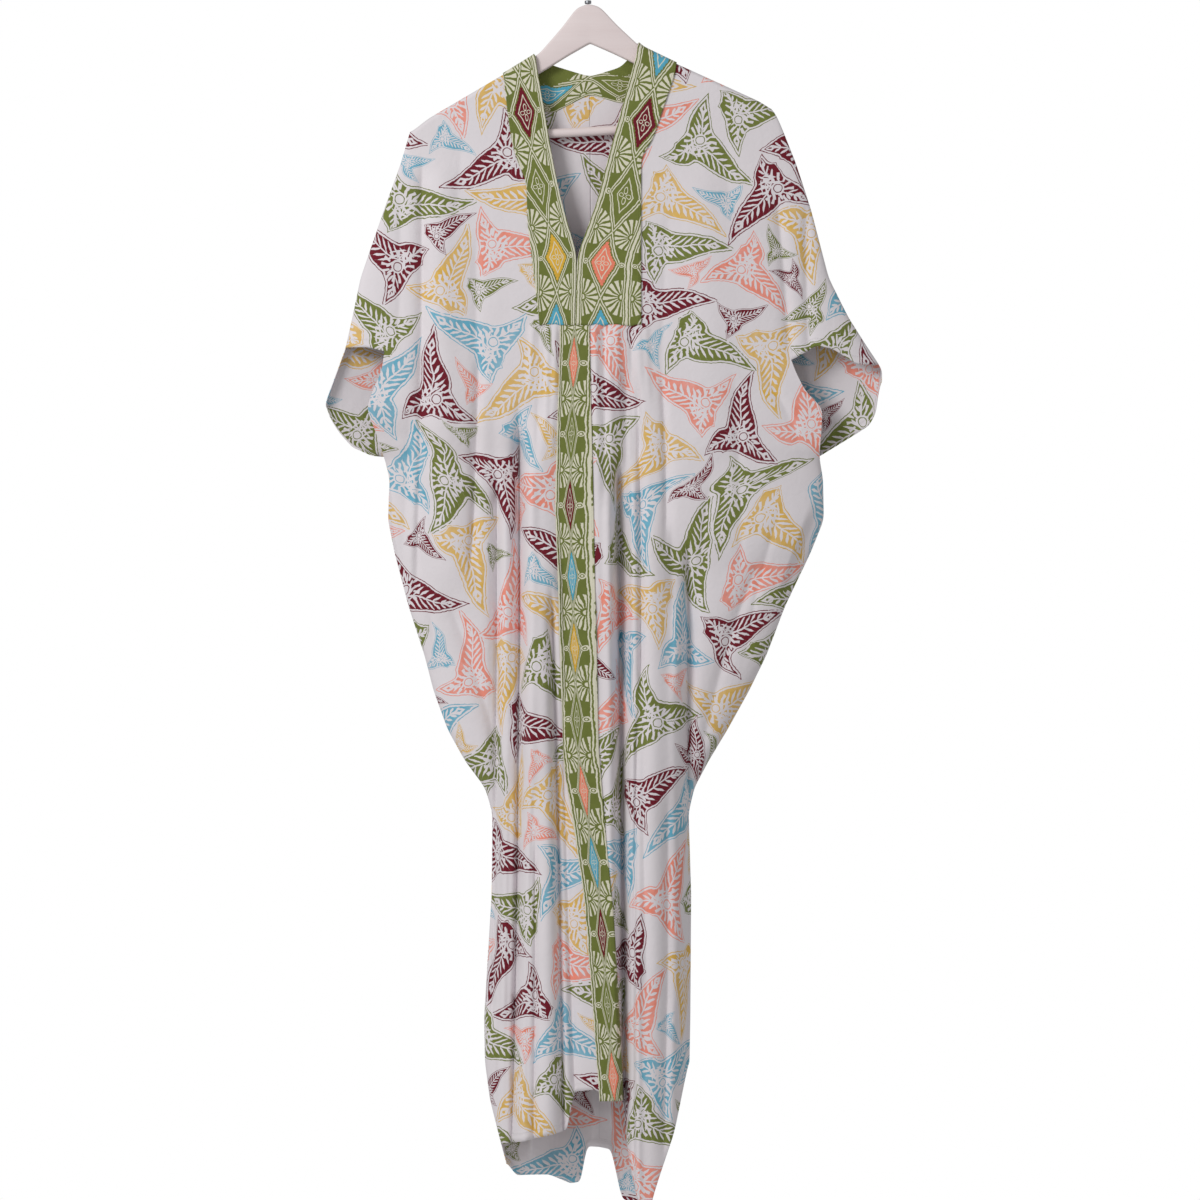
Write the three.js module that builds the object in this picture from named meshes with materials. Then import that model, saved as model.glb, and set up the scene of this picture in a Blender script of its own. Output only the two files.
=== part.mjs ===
// Batik kaftan dress hanging on a wooden hanger.
// Millimetres, +Z up, the front faces -Y and +X is the viewer's right. The origin is where the hook
// hangs, so every "drop" below is a depth under that point: z = -drop.
import * as THREE from "three";

// Cloth
const CLOTH = 1.2; // thickness of the wall
const SEAM = 0.3; // gap between two pieces at a seam
const STRIP_LIFT = CLOTH + SEAM; // from a panel's middle to the middle of a strip sewn on it

// Hanger, in its own untilted frame: "out" from its axis, "drop" below the top of the hump
const TILT = THREE.MathUtils.degToRad(3); // the viewer's left end hangs lower
const HUMP_DROP = 59;
const BOARD_THICK = 12;
const BOARD_BEVEL = 3;
const CLOTH_SEAT = 1.5; // from the middle of the shoulder seam down to the board
const BAR_RADIUS = 5.5;
const BAR_DROP = 153;
const BAR_HALF = 187.7;
const HOOK_WIRE = 2; // radius
const HOOK_RADIUS = 20; // of the hook's curve, at the wire's middle
const FERRULE_RADIUS = 4;
const FERRULE_HEIGHT = 4;

// Heights at which the pieces meet
const YOKE = 447; // lower end of the border bands, top of the placket
const UNDERARM = 604;
const SHOULDER_ROUND = 5; // the cloth turns over the board within this drop
const FOLD_FADE = 45; // length over which a fold starts and ends
const STRIP_SMOOTH = 9; // folds die out over this width inside a strip's edge
const STRIP_END = 12; // height of the back neck strip's ends
const NECK_TURN = 4; // width over which the back neck edge turns down behind the board
const NECK_DIP = 2; // drop of that edge's start below the shoulder line

const table = (columns, rows) =>
  rows.map((row) => Object.fromEntries(columns.map((name, i) => [name, row[i]])));

// Line of the shoulder seam along the hanger's arms
const ARM = table(["out", "drop"], [
  [0, -2], [14, 2], [32, 24], [62, 55], [102, 77], [150, 102], [200, 128], [221, 143],
]);

// Lower edge of the board, with the lobe at its end that holds the bar
const BOARD_UNDER = table(["out", "drop"], [
  [0, 47], [26, 60], [57, 77], [186, 145], [188, 147], [188, 161], [194, 163], [201, 157], [204, 144],
]);

// Side outline of the dress: overarm to the cuff tip, then the side seam
const SIDES = table(["drop", "left", "right"], [
  [205, -209, 235],
  [250, -222, 253],
  [308, -243, 272],
  [389, -271, 293],
  [437, -281, 317],
  [473, -289, 340],
  [500, -299, 358],
  [541, -314, 354],
  [567, -312, 346],
  [590, -300, 326],
  [UNDERARM, -243, 281],
  [630, -236, 286],
  [680, -238, 287],
  [720, -230, 271],
  [785, -213, 240],
  [843, -194, 218],
  [886, -183, 197],
  [933, -166, 171],
  [971, -145, 148],
  [1003, -121, 131],
  [1033, -112, 124],
  [1132, -113, 127],
  [1281, -122, 126],
  [1334, -121, 125],
  [1379, -115, 121],
  [1439, -100, 116],
  [1490, -86, 110],
]);
const CUFF_TIP = { left: 541, right: 507 };

// Line from the shoulder down the sleeve mouth's front edge to the underarm
const SLEEVE_LINE = table(["drop", "left", "right"], [
  [177, -187, 209],
  [480, -242, 244],
  [502, -245, 252],
  [526, -256, 264],
  [547, -263, 285],
  [579, -251, 283],
  [UNDERARM, -243, 281],
]);

// Edge of the V neck, then the centre front
const NECK = table(["drop", "left", "right"], [
  [114, -62, 63],
  [249, -39, 26],
  [297, -29, 14],
  [363, -10, -10],
  [451, -13, -13],
  [657, -13, -13],
  [957, -5, -5],
  [1137, 16, 16],
  [1377, 31, 31],
]);

// Outer edge of the border bands above the yoke seam
const BAND_EDGE = table(["drop", "left", "right"], [
  [140, -99, 109],
  [190, -94, 92],
  [225, -89, 80],
  [243, -84, 67],
  [275, -71, 67],
  [321, -70, 67],
  [YOKE, -55, 67],
]);

// Edges of the placket below the yoke seam
const PLACKET_EDGE = table(["drop", "left", "right"], [
  [YOKE, -31, 5],
  [657, -37, 10],
  [957, -27, 16],
  [1137, -1, 32],
  [1377, 17, 44],
]);

const CENTRE_BACK = table(["drop", "x"], [
  [166, 5],
  [1441, 17],
]);

// Half depths of the hanging tube, and how square its section is (2 is an ellipse)
const DEPTHS = table(["drop", "front", "back", "power"], [
  [110, 9, 9, 10],
  [230, 11, 12, 8],
  [330, 18, 16, 5],
  [450, 24, 20, 4],
  [UNDERARM, 30, 26, 3],
  [800, 38, 34, 2.6],
  [1000, 46, 40, 2.4],
  [1200, 46, 42, 2.4],
  [1520, 42, 40, 2.4],
]);

// Hems, by the part of the way across from the centre (0) to the side (1)
const HEMS = {
  frontLeft: table(["across", "drop"], [
    [0, 1375], [0.12, 1363], [0.3, 1366], [0.38, 1412], [0.6, 1419], [1, 1433],
  ]),
  frontRight: table(["across", "drop"], [
    [0, 1375], [0.16, 1377], [0.23, 1440], [0.4, 1497], [0.5, 1511], [0.6, 1503], [0.68, 1475], [0.87, 1414],
    [1, 1329],
  ]),
  backLeft: table(["across", "drop"], [
    [0, 1441], [0.13, 1440], [0.22, 1483], [0.34, 1485], [0.57, 1474], [0.94, 1473], [1, 1455],
  ]),
  backRight: table(["across", "drop"], [
    [0, 1441], [0.14, 1444], [0.29, 1503], [0.44, 1510], [0.61, 1509], [0.71, 1475], [0.88, 1414], [1, 1329],
  ]),
};

// Sleeve hems, by the part of the way from the sleeve line (0) to the overarm (1)
const CUFFS = {
  frontLeft: table(["across", "drop"], [[0, 478], [0.45, 473], [1, 473]]),
  frontRight: table(["across", "drop"], [
    [0, 489], [0.25, 477], [0.35, 471], [0.55, 475], [0.75, 494], [1, 493],
  ]),
  backLeft: table(["across", "drop"], [
    [0, UNDERARM], [0.2, 603], [0.53, 592], [0.76, 573], [0.93, 555], [1, 541],
  ]),
  backRight: table(["across", "drop"], [[0, UNDERARM], [0.51, 580], [0.8, 566], [0.92, 549], [1, 507]]),
};

// Strip round the back neck: its upper edge and its seam with the backs
const BACK_BAND = table(["x", "top", "bottom"], [
  [-95, 141, 153],
  [-73, 127, 177],
  [-62, 119, 183],
  [-41, 131, 190],
  [5, 145, 166],
  [44, 133, 178],
  [63, 109, 172],
  [80, 118, 167],
  [105, 131, 143],
]);

// Folds: where the ridge (+) or trough (-) starts and ends, its half width and its rise
const FOLD_COLUMNS = ["top", "bottom", "from", "to", "width", "rise"];
const FRONT_FOLDS = table(FOLD_COLUMNS, [
  [270, 480, -224, -226, 10, -3],
  [240, 800, -197, -205, 9, -9],
  [240, 780, -175, -160, 22, 5],
  [513, 960, -111, -109, 22, -5],
  [531, 900, -80, -73, 10, -10],
  [840, 1440, -78, -92, 10, -13],
  [540, 1440, -55, -45, 16, 6],
  [873, 1330, -27, -12, 7, -7],
  [430, 800, 13, 15, 6, 3],
  [430, 820, 31, 32, 7, 4],
  [480, 900, 48, 46, 10, -10],
  [830, 1400, 49, 54, 13, -20],
  [660, 1500, 80, 86, 24, 8],
  [730, 980, 123, 118, 12, -7],
  [280, 500, 229, 246, 9, -7],
  [290, 500, 266, 270, 8, -6],
  [240, 620, 137, 150, 30, 4],
  [760, 1010, -172, -96, 12, -7],
  [720, 980, 212, 136, 12, -7],
  [430, 620, -40, -41, 5.5, 3],
  [430, 560, -54, -56, 5, 2.5],
  [430, 590, 63, 66, 6, 3],
]);
const BACK_FOLDS = table(FOLD_COLUMNS, [
  [250, 820, -190, -180, 11, -8],
  [300, 620, -120, -125, 20, -5],
  [420, 1000, -70, -60, 12, -9],
  [860, 1470, -62, -66, 10, -15],
  [600, 1450, -28, -22, 16, 7],
  [520, 1430, 22, 30, 10, -11],
  [640, 1450, 60, 62, 16, 6],
  [300, 900, 110, 100, 18, -7],
  [830, 1450, 96, 92, 9, -13],
  [250, 640, 205, 215, 12, -8],
  [740, 1010, -175, -98, 14, -8],
  [740, 1000, 215, 134, 14, -8],
]);

// Fold-back edges: outside this line the cloth steps back
const FRONT_LEDGES = table(["top", "bottom", "from", "to", "width", "rise"], [
  [540, 800, -205, -219, 7, -9],
  [650, 790, 280, 228, 7, -10],
]);

// Straight between a table's rows and level beyond its ends
function lookup(rows, key, column, at) {
  const next = rows.findIndex((row) => row[key] >= at);
  if (next === 0) return rows[0][column];
  if (next < 0) return rows[rows.length - 1][column];
  const low = rows[next - 1];
  const high = rows[next];
  const share = (at - low[key]) / (high[key] - low[key]);
  return THREE.MathUtils.lerp(low[column], high[column], share);
}

// The shoulder line in the dress's frame: the arms' line, tilted with the hanger
const shoulderLine = [...ARM.map((row) => ({ ...row, out: -row.out })).reverse(), ...ARM.slice(1)].map(
  ({ out, drop }) => {
    const below = HUMP_DROP + drop;
    return {
      x: out * Math.cos(TILT) + below * Math.sin(TILT),
      drop: below * Math.cos(TILT) - out * Math.sin(TILT),
    };
  },
);
const shoulderDrop = (x) => lookup(shoulderLine, "x", "drop", x);

// 0 inside a sewn-on strip, which stays smooth, rising to 1 over its edge
function clearOfStrips(x, drop) {
  const rows = drop > YOKE ? PLACKET_EDGE : BAND_EDGE;
  const outside = Math.max(lookup(rows, "drop", "left", drop) - x, x - lookup(rows, "drop", "right", drop));
  return THREE.MathUtils.smoothstep(outside, -STRIP_SMOOTH, STRIP_SMOOTH / 2);
}

// Sum of the folds that cross this place, each a smooth ridge or trough that fades in and out
function foldRise(folds, ledges, x, drop) {
  const fade = (row) =>
    THREE.MathUtils.smoothstep(drop, row.top, row.top + FOLD_FADE) *
    THREE.MathUtils.smoothstep(-drop, -row.bottom, FOLD_FADE - row.bottom);
  const line = (row) => THREE.MathUtils.mapLinear(drop, row.top, row.bottom, row.from, row.to);
  const bumps = folds.reduce(
    (sum, row) => sum + row.rise * fade(row) * Math.exp(-(((x - line(row)) / row.width) ** 2)),
    0,
  );
  const steps = ledges.reduce((sum, row) => {
    const out = Math.sign(row.from) * (x - line(row));
    return sum + row.rise * fade(row) * THREE.MathUtils.smoothstep(out, -row.width, row.width);
  }, 0);
  return bumps + steps;
}

// Distance of the cloth's middle from the plane of the side seams.
// The section is a rounded lens between the side outlines.
// The shoulder turns over like a quarter ellipse.
function clothDepth(face, x, drop) {
  const left = lookup(SIDES, "drop", "left", drop);
  const right = lookup(SIDES, "drop", "right", drop);
  const across = Math.min(1, Math.abs((2 * x - left - right) / (right - left)));
  const power = lookup(DEPTHS, "drop", "power", drop);
  const lens = (1 - across ** power) ** (1 / power);
  const under = THREE.MathUtils.clamp((drop - shoulderDrop(x)) / SHOULDER_ROUND, 0, 1);
  const turn = Math.sqrt(1 - (1 - under) ** 2);
  const base = lookup(DEPTHS, "drop", face < 0 ? "front" : "back", drop);
  const folds =
    face < 0
      ? clearOfStrips(x, drop) * foldRise(FRONT_FOLDS, FRONT_LEDGES, x, drop)
      : foldRise(BACK_FOLDS, [], x, drop);
  return Math.max(0, turn * (lens * base + Math.sqrt(lens) * folds));
}

const SLOPE_STEP = 0.5; // the slope is taken between places this far to either side

// Middle point and outward direction of the cloth
// On a side or shoulder seam the wall ends in the seam's plane.
function clothPoint(face, { x, drop, seam }) {
  const step = SLOPE_STEP;
  const slopeX = (clothDepth(face, x + step, drop) - clothDepth(face, x - step, drop)) / (2 * step);
  const slopeDrop = (clothDepth(face, x, drop + step) - clothDepth(face, x, drop - step)) / (2 * step);
  const depth = seam ? 0 : clothDepth(face, x, drop);
  const middle = new THREE.Vector3(x, face * (SEAM / 2 + depth), -drop);
  const normal = new THREE.Vector3(-slopeX, seam ? 0 : face, slopeDrop).normalize();
  return { middle, normal };
}

// A closed wall over a grid of places, points[column][row]; null leaves the grid open there
function clothWall(face, points, lift = 0) {
  const positions = [];
  const triangles = [];
  const corners = new Map();
  const corner = (i, j, side) => {
    const key = `${i},${j},${side}`;
    if (!corners.has(key)) {
      const { middle, normal } = clothPoint(face, points[i][j]);
      middle.addScaledVector(normal, lift + (side * CLOTH) / 2);
      corners.set(key, positions.length / 3);
      positions.push(middle.x, middle.y, middle.z);
    }
    return corners.get(key);
  };
  const filled = (i, j) =>
    Boolean(points[i]?.[j] && points[i + 1]?.[j] && points[i]?.[j + 1] && points[i + 1]?.[j + 1]);
  const quad = (a, b, c, d) => triangles.push(a, b, c, a, c, d);
  for (let i = 0; i < points.length - 1; i += 1) {
    for (let j = 0; j < points[0].length - 1; j += 1) {
      if (!filled(i, j)) continue;
      const ring = [[i, j], [i + 1, j], [i + 1, j + 1], [i, j + 1]];
      const outer = ring.map(([column, row]) => corner(column, row, 1));
      const inner = ring.map(([column, row]) => corner(column, row, -1));
      quad(...outer);
      quad(inner[0], inner[3], inner[2], inner[1]);
      const beside = [[i, j - 1], [i + 1, j], [i, j + 1], [i - 1, j]];
      beside.forEach(([column, row], k) => {
        const next = (k + 1) % 4;
        if (!filled(column, row)) quad(outer[next], outer[k], inner[k], inner[next]);
      });
    }
  }
  return closedGeometry(positions, triangles);
}

// Turns the triangles round where they face inwards
function closedGeometry(positions, triangles) {
  const at = (k) => new THREE.Vector3().fromArray(positions, 3 * k);
  let volume = 0;
  for (let k = 0; k < triangles.length; k += 3) {
    volume += at(triangles[k]).dot(at(triangles[k + 1]).cross(at(triangles[k + 2])));
  }
  const geometry = new THREE.BufferGeometry();
  geometry.setAttribute("position", new THREE.Float32BufferAttribute(positions, 3));
  geometry.setIndex(volume > 0 ? triangles : triangles.reverse());
  geometry.computeVertexNormals();
  return geometry;
}

// Places a part of the way between two lines, closer together at both ends
function spread(count, evenness = 0.5) {
  return Array.from({ length: count + 1 }, (_, k) => {
    const t = k / count;
    return evenness * t + ((1 - evenness) * (1 - Math.cos(Math.PI * t))) / 2;
  });
}

// Rows of a panel, as {level, share}: a share of the way from one level to the next
const TOP_OFFSETS = [0, 0.5, 1.7, 3.5, 6];
const rowsBetween = (level, count) =>
  Array.from({ length: count }, (_, k) => ({ level, share: (k + 1) / count }));

// Drop of a row at a place across the panel
function rowDrop(row, levels) {
  if (row.offset !== undefined) return levels[0] + row.offset;
  const from = row.level === 0 ? levels[0] + TOP_OFFSETS[TOP_OFFSETS.length - 1] : levels[row.level];
  return THREE.MathUtils.lerp(from, levels[row.level + 1], row.share);
}

const FRONT_COUNTS = { toYoke: 8, toCuff: 1, toUnderarm: 3, toHem: 16 };
const FRONT_ROWS = [
  ...TOP_OFFSETS.map((offset) => ({ offset })),
  ...rowsBetween(0, FRONT_COUNTS.toYoke),
  { level: 1, share: 1 },
  ...rowsBetween(2, FRONT_COUNTS.toCuff),
  ...rowsBetween(3, FRONT_COUNTS.toUnderarm),
  ...rowsBetween(4, FRONT_COUNTS.toHem),
];
// Last row of the bands; the placket starts at the next
const YOKE_ROW = TOP_OFFSETS.length + FRONT_COUNTS.toYoke - 1;
const FRONT_CUFF_ROW = YOKE_ROW + 1 + FRONT_COUNTS.toCuff;
const BACK_COUNTS = { toStrip: 2, toYoke: 5, toCuff: 3, toHem: 13 };
const BACK_ROWS = [
  ...TOP_OFFSETS.map((offset) => ({ offset })),
  ...rowsBetween(0, BACK_COUNTS.toStrip),
  { level: 1, share: 1 },
  ...rowsBetween(2, BACK_COUNTS.toYoke),
  ...rowsBetween(3, BACK_COUNTS.toCuff),
  ...rowsBetween(4, BACK_COUNTS.toHem),
];
const STRIP_ROW = TOP_OFFSETS.length + BACK_COUNTS.toStrip - 1; // last row of the strip round the back neck
const BACK_CUFF_ROW = STRIP_ROW + 1 + BACK_COUNTS.toYoke + BACK_COUNTS.toCuff;

// Columns of a front: placket, rest of the band, body, sleeve
const FRONT_GROUPS = { left: [3, 5, 12, 4], right: [3, 11, 12, 4] };
// Columns of a back: behind the neck, its turn, strip over the shoulder, body, sleeve
const BACK_GROUPS = [5, 2, 3, 6, 4];
// How evenly a group's columns are spaced, from 0 to 1
const EVENNESS = { body: 0.6, sleeve: 0.4 };
// Drops at which the search for a sloping edge starts
const SEARCH_START = { shoulder: HUMP_DROP * 2, frontHem: 1400, backHem: 1450 };
const SEARCH_STEPS = 12;

// Grid of a front: columns run from the neck edge over the strip's two lines to the sleeve line and overarm
function frontPoints(side) {
  const hem = HEMS[side === "left" ? "frontLeft" : "frontRight"];
  const cuff = CUFFS[side === "left" ? "frontLeft" : "frontRight"];
  const outward = side === "left" ? -1 : 1;
  const line = (rows, drop) => lookup(rows, "drop", side, drop);
  const bandWidth = line(BAND_EDGE, YOKE) - line(NECK, YOKE);
  const stripShare = (line(PLACKET_EDGE, YOKE) - line(NECK, YOKE)) / bandWidth;
  const pleatShare =
    (line(BAND_EDGE, YOKE) - line(PLACKET_EDGE, YOKE)) / (line(SLEEVE_LINE, YOKE) - line(PLACKET_EDGE, YOKE));
  const bodySide = (drop) => (drop < UNDERARM ? line(SLEEVE_LINE, drop) : line(SIDES, drop));
  const lines = [
    (drop) => line(NECK, drop) + (outward * SEAM) / 2,
    (drop) =>
      drop > YOKE
        ? line(PLACKET_EDGE, drop)
        : THREE.MathUtils.lerp(line(NECK, drop), line(BAND_EDGE, drop), stripShare),
    (drop) =>
      drop > YOKE
        ? THREE.MathUtils.lerp(line(PLACKET_EDGE, drop), bodySide(drop), pleatShare)
        : line(BAND_EDGE, drop),
    bodySide,
    (drop) => line(SIDES, Math.min(drop, CUFF_TIP[side])),
  ];
  return groupColumns(FRONT_GROUPS[side]).map(({ group, share }) =>
    FRONT_ROWS.map((row, j) => {
      const sleeve = group === 3 && share > 0;
      if (sleeve && j > FRONT_CUFF_ROW) return null;
      const place = (drop) => THREE.MathUtils.lerp(lines[group](drop), lines[group + 1](drop), share);
      const wayAcross = (x, drop) => (x - lines[0](drop)) / (lines[3](drop) - lines[0](drop));
      const top = settle(place, shoulderDrop, SEARCH_START.shoulder);
      const across = sleeve ? share : 0;
      const hemEdge = (x, drop) => lookup(hem, "across", "drop", wayAcross(x, drop));
      const hemDrop = settle(place, hemEdge, SEARCH_START.frontHem);
      const levels = [top, YOKE, YOKE + SEAM, lookup(cuff, "across", "drop", across), UNDERARM, hemDrop];
      const drop = rowDrop(row, levels);
      const outer = (group === 3 && share === 1) || (group === 2 && share === 1 && j > FRONT_CUFF_ROW);
      const open = group === 2 && j > FRONT_CUFF_ROW && drop < UNDERARM;
      return { x: place(drop), drop, seam: j === 0 || (outer && !open) };
    }),
  );
}

// Columns as {group, share}: a group lies between two of the panel's lines, the sleeve's last.
// Neighbours share their line's column, but for the groups that start with one of their own.
function groupColumns(groups, ownStart = []) {
  return groups.flatMap((count, group) =>
    spread(count, group === groups.length - 1 ? EVENNESS.sleeve : EVENNESS.body)
      .slice(group === 0 || ownStart.includes(group) ? 0 : 1)
      .map((share) => ({ group, share })),
  );
}

// Where a column meets a sloping edge: its drop, found by stepping between place and edge
function settle(place, edge, start) {
  let drop = start;
  for (let k = 0; k < SEARCH_STEPS; k += 1) drop = edge(place(drop), drop);
  return drop;
}

// Grid of a back with the neck strip above it: columns run from the centre-back seam to the strip's end,
// then on to the sleeve line and the overarm
function backPoints(side) {
  const hem = HEMS[side === "left" ? "backLeft" : "backRight"];
  const cuff = CUFFS[side === "left" ? "backLeft" : "backRight"];
  const frontCuff = CUFFS[side === "left" ? "frontLeft" : "frontRight"];
  const outward = side === "left" ? -1 : 1;
  const line = (rows, drop) => lookup(rows, "drop", side, drop);
  const centre = (drop) => lookup(CENTRE_BACK, "drop", "x", drop) + (outward * SEAM) / 2;
  const bodySide = (drop) => (drop < UNDERARM ? line(SLEEVE_LINE, drop) : line(SIDES, drop));
  const strip = side === "left" ? BACK_BAND[0] : BACK_BAND[BACK_BAND.length - 1];
  const below = (x, start) => {
    const share = (x - centre(start)) / (bodySide(start) - centre(start));
    return (drop) => THREE.MathUtils.lerp(centre(drop), bodySide(drop), share);
  };
  const neckPoint = below(NECK[0][side], NECK[0].drop);
  const stripEnd = below(strip.x, strip.top);
  const spans = [
    { from: centre, to: (drop) => neckPoint(drop) - outward * NECK_TURN },
    { from: (drop) => neckPoint(drop) - outward * NECK_TURN, to: neckPoint },
    { from: neckPoint, to: (drop) => stripEnd(drop) - outward * SEAM },
    { from: stripEnd, to: bodySide },
    { from: bodySide, to: (drop) => line(SIDES, Math.min(drop, CUFF_TIP[side])) },
  ];
  return groupColumns(BACK_GROUPS, [3]).map(({ group, share }) => {
    const { from, to } = spans[group];
    const sleeve = group === 4;
    const onStrip = group < 3;
    const onShoulder = group > 1 || (group === 1 && share === 1);
    const place = (drop) => THREE.MathUtils.lerp(from(drop), to(drop), share);
    const wayAcross = (x, drop) => (x - centre(drop)) / (bodySide(drop) - centre(drop));
    const turning = group === 1 && share > 0;
    const dip = onShoulder ? 0 : NECK_DIP * (1 - share);
    const topEdge = (x) =>
      onShoulder || turning ? shoulderDrop(x) + dip : lookup(BACK_BAND, "x", "top", x);
    const top = settle(place, topEdge, SEARCH_START.shoulder);
    const stripDrop = onStrip ? lookup(BACK_BAND, "x", "bottom", place(top)) : top + STRIP_END;
    const hemEdge = (x, drop) => lookup(hem, "across", "drop", wayAcross(x, drop));
    const hemDrop = settle(place, hemEdge, SEARCH_START.backHem);
    const cuffDrop = lookup(cuff, "across", "drop", sleeve ? share : 0);
    const levels = [top, stripDrop, stripDrop + SEAM, YOKE, cuffDrop, hemDrop];
    return BACK_ROWS.map((row, j) => {
      if (sleeve && j > BACK_CUFF_ROW) return null;
      const drop = rowDrop(row, levels);
      const shoulder = j === 0 && onShoulder;
      const overarm = sleeve && share === 1 && drop < lookup(frontCuff, "across", "drop", 1);
      const sideSeam = group === 3 && share === 1 && j >= BACK_CUFF_ROW;
      const seam = shoulder || overarm || sideSeam;
      return { x: place(drop), drop, seam, onStrip: onStrip && j <= STRIP_ROW };
    });
  });
}

const BOARD_END = BOARD_UNDER[BOARD_UNDER.length - 1].out;
const BOARD_TOP = -HUMP_DROP - ARM[0].drop - CLOTH_SEAT; // height of the board's top at its middle

// The hanger's flat board: the arms' line lowered to its seat, and the lower edge, on both sides
function boardGeometry() {
  const upper = ARM.filter((row) => row.out <= BOARD_END).map(({ out, drop }) => [out, -drop - CLOTH_SEAT]);
  const lower = BOARD_UNDER.map(({ out, drop }) => [out, -drop]).reverse();
  const right = [...upper, ...lower];
  const left = right.slice(1, -1).map(([out, z]) => [-out, z]).reverse();
  const shape = new THREE.Shape([...right, ...left].map(([x, y]) => new THREE.Vector2(x, y)));
  const geometry = new THREE.ExtrudeGeometry(shape, {
    depth: BOARD_THICK - 2 * BOARD_BEVEL,
    bevelThickness: BOARD_BEVEL,
    bevelSize: BOARD_BEVEL,
    bevelOffset: -BOARD_BEVEL,
    bevelSegments: 2,
  });
  geometry.translate(0, 0, BOARD_BEVEL - BOARD_THICK / 2);
  geometry.rotateX(Math.PI / 2);
  return geometry.translate(0, 0, -HUMP_DROP);
}

// Points of the wire: up from the ferrule, then round the hook's circle by angles in degrees
const HOOK_STEM = table(["x", "above"], [[0, 0], [0, 7], [3, 13]]);
const HOOK_ANGLES = [-40, -10, 20, 50, 80, 110, 140, 170, 195];

// The wire: straight up from the ferrule, then round a circle whose crown's inside is the origin
function hookGeometry() {
  const centre = -(HOOK_RADIUS - HOOK_WIRE);
  const onCircle = (degrees) => {
    const angle = THREE.MathUtils.degToRad(degrees);
    return new THREE.Vector3(HOOK_RADIUS * Math.cos(angle), 0, centre + HOOK_RADIUS * Math.sin(angle));
  };
  const foot = BOARD_TOP + SEAM + FERRULE_HEIGHT + SEAM;
  const path = new THREE.CatmullRomCurve3([
    ...HOOK_STEM.map(({ x, above }) => new THREE.Vector3(x, 0, foot + above)),
    ...HOOK_ANGLES.map(onCircle),
  ]);
  const section = new THREE.Shape().absarc(0, 0, HOOK_WIRE, 0, 2 * Math.PI);
  return new THREE.ExtrudeGeometry(section, { extrudePath: path, steps: 30, curveSegments: 10 });
}

function ferruleGeometry() {
  const geometry = new THREE.CylinderGeometry(FERRULE_RADIUS, FERRULE_RADIUS, FERRULE_HEIGHT, 20);
  geometry.rotateX(Math.PI / 2);
  return geometry.translate(0, 0, BOARD_TOP + SEAM + FERRULE_HEIGHT / 2);
}

function barGeometry() {
  const geometry = new THREE.CylinderGeometry(BAR_RADIUS, BAR_RADIUS, 2 * BAR_HALF, 16);
  geometry.rotateZ(Math.PI / 2);
  return geometry.translate(0, 0, -HUMP_DROP - BAR_DROP);
}

const finishes = {
  batik: { color: 0xe8e2e6, roughness: 0.75, metalness: 0 },
  border: { color: 0x6b7d36, roughness: 0.75, metalness: 0 },
  wood: { color: 0xebdcdc, roughness: 0.5, metalness: 0 },
  metal: { color: 0xb8babc, roughness: 0.3, metalness: 1 },
};

function piece(name, geometry, finish) {
  const mesh = new THREE.Mesh(geometry, new THREE.MeshStandardMaterial(finishes[finish]));
  mesh.name = name;
  return mesh;
}

// Every grid runs from left to right, so that a strip and the panel under it are cut into like triangles
const left = frontPoints("left").reverse();
const right = frontPoints("right");
const backLeft = backPoints("left").reverse();
const backRight = backPoints("right");
const bandPoints = (columns) => columns.map((column) => column.slice(0, YOKE_ROW + 1));
const bandLeft = bandPoints(left.slice(-1 - FRONT_GROUPS.left[0] - FRONT_GROUPS.left[1]));
const bandRight = bandPoints(right.slice(0, 1 + FRONT_GROUPS.right[0] + FRONT_GROUPS.right[1]));
const PLACKET_COLUMNS = FRONT_GROUPS.left[0]; // on each side of the centre
const betweenColumns = (a, b) =>
  a.map((point, j) => ({ x: (point.x + b[j].x) / 2, drop: (point.drop + b[j].drop) / 2 }));
const placketPoints = [
  ...left.slice(-1 - PLACKET_COLUMNS, -1),
  betweenColumns(left[left.length - 1], right[0]),
  ...right.slice(1, 1 + PLACKET_COLUMNS),
].map((column) => column.slice(YOKE_ROW + 1));
const STRIP_COLUMNS = 1 + BACK_GROUPS[0] + BACK_GROUPS[1] + BACK_GROUPS[2];
const backBandPoints = [
  ...backLeft.slice(-STRIP_COLUMNS, -1),
  betweenColumns(backLeft[backLeft.length - 1], backRight[0]),
  ...backRight.slice(1, STRIP_COLUMNS),
].map((column) => column.slice(0, STRIP_ROW + 1));
const belowStrip = (points) => points.map((column) => column.map((point) => (point?.onStrip ? null : point)));

const dress = new THREE.Group();
dress.add(
  piece("front_left", clothWall(-1, left), "batik"),
  piece("front_right", clothWall(-1, right), "batik"),
  piece("back_left", clothWall(1, belowStrip(backLeft)), "batik"),
  piece("back_right", clothWall(1, belowStrip(backRight)), "batik"),
  piece("band_left", clothWall(-1, bandLeft, STRIP_LIFT), "border"),
  piece("band_right", clothWall(-1, bandRight, STRIP_LIFT), "border"),
  piece("band_back", clothWall(1, backBandPoints), "border"),
  piece("placket", clothWall(-1, placketPoints, STRIP_LIFT), "border"),
);

const hanger = new THREE.Group();
hanger.rotation.y = -TILT;
hanger.add(
  piece("hanger_board", boardGeometry(), "wood"),
  piece("hanger_bar", barGeometry(), "wood"),
  piece("hanger_ferrule", ferruleGeometry(), "metal"),
  piece("hanger_hook", hookGeometry(), "metal"),
);

const model = new THREE.Group();
model.add(dress, hanger);
export default model;
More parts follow.
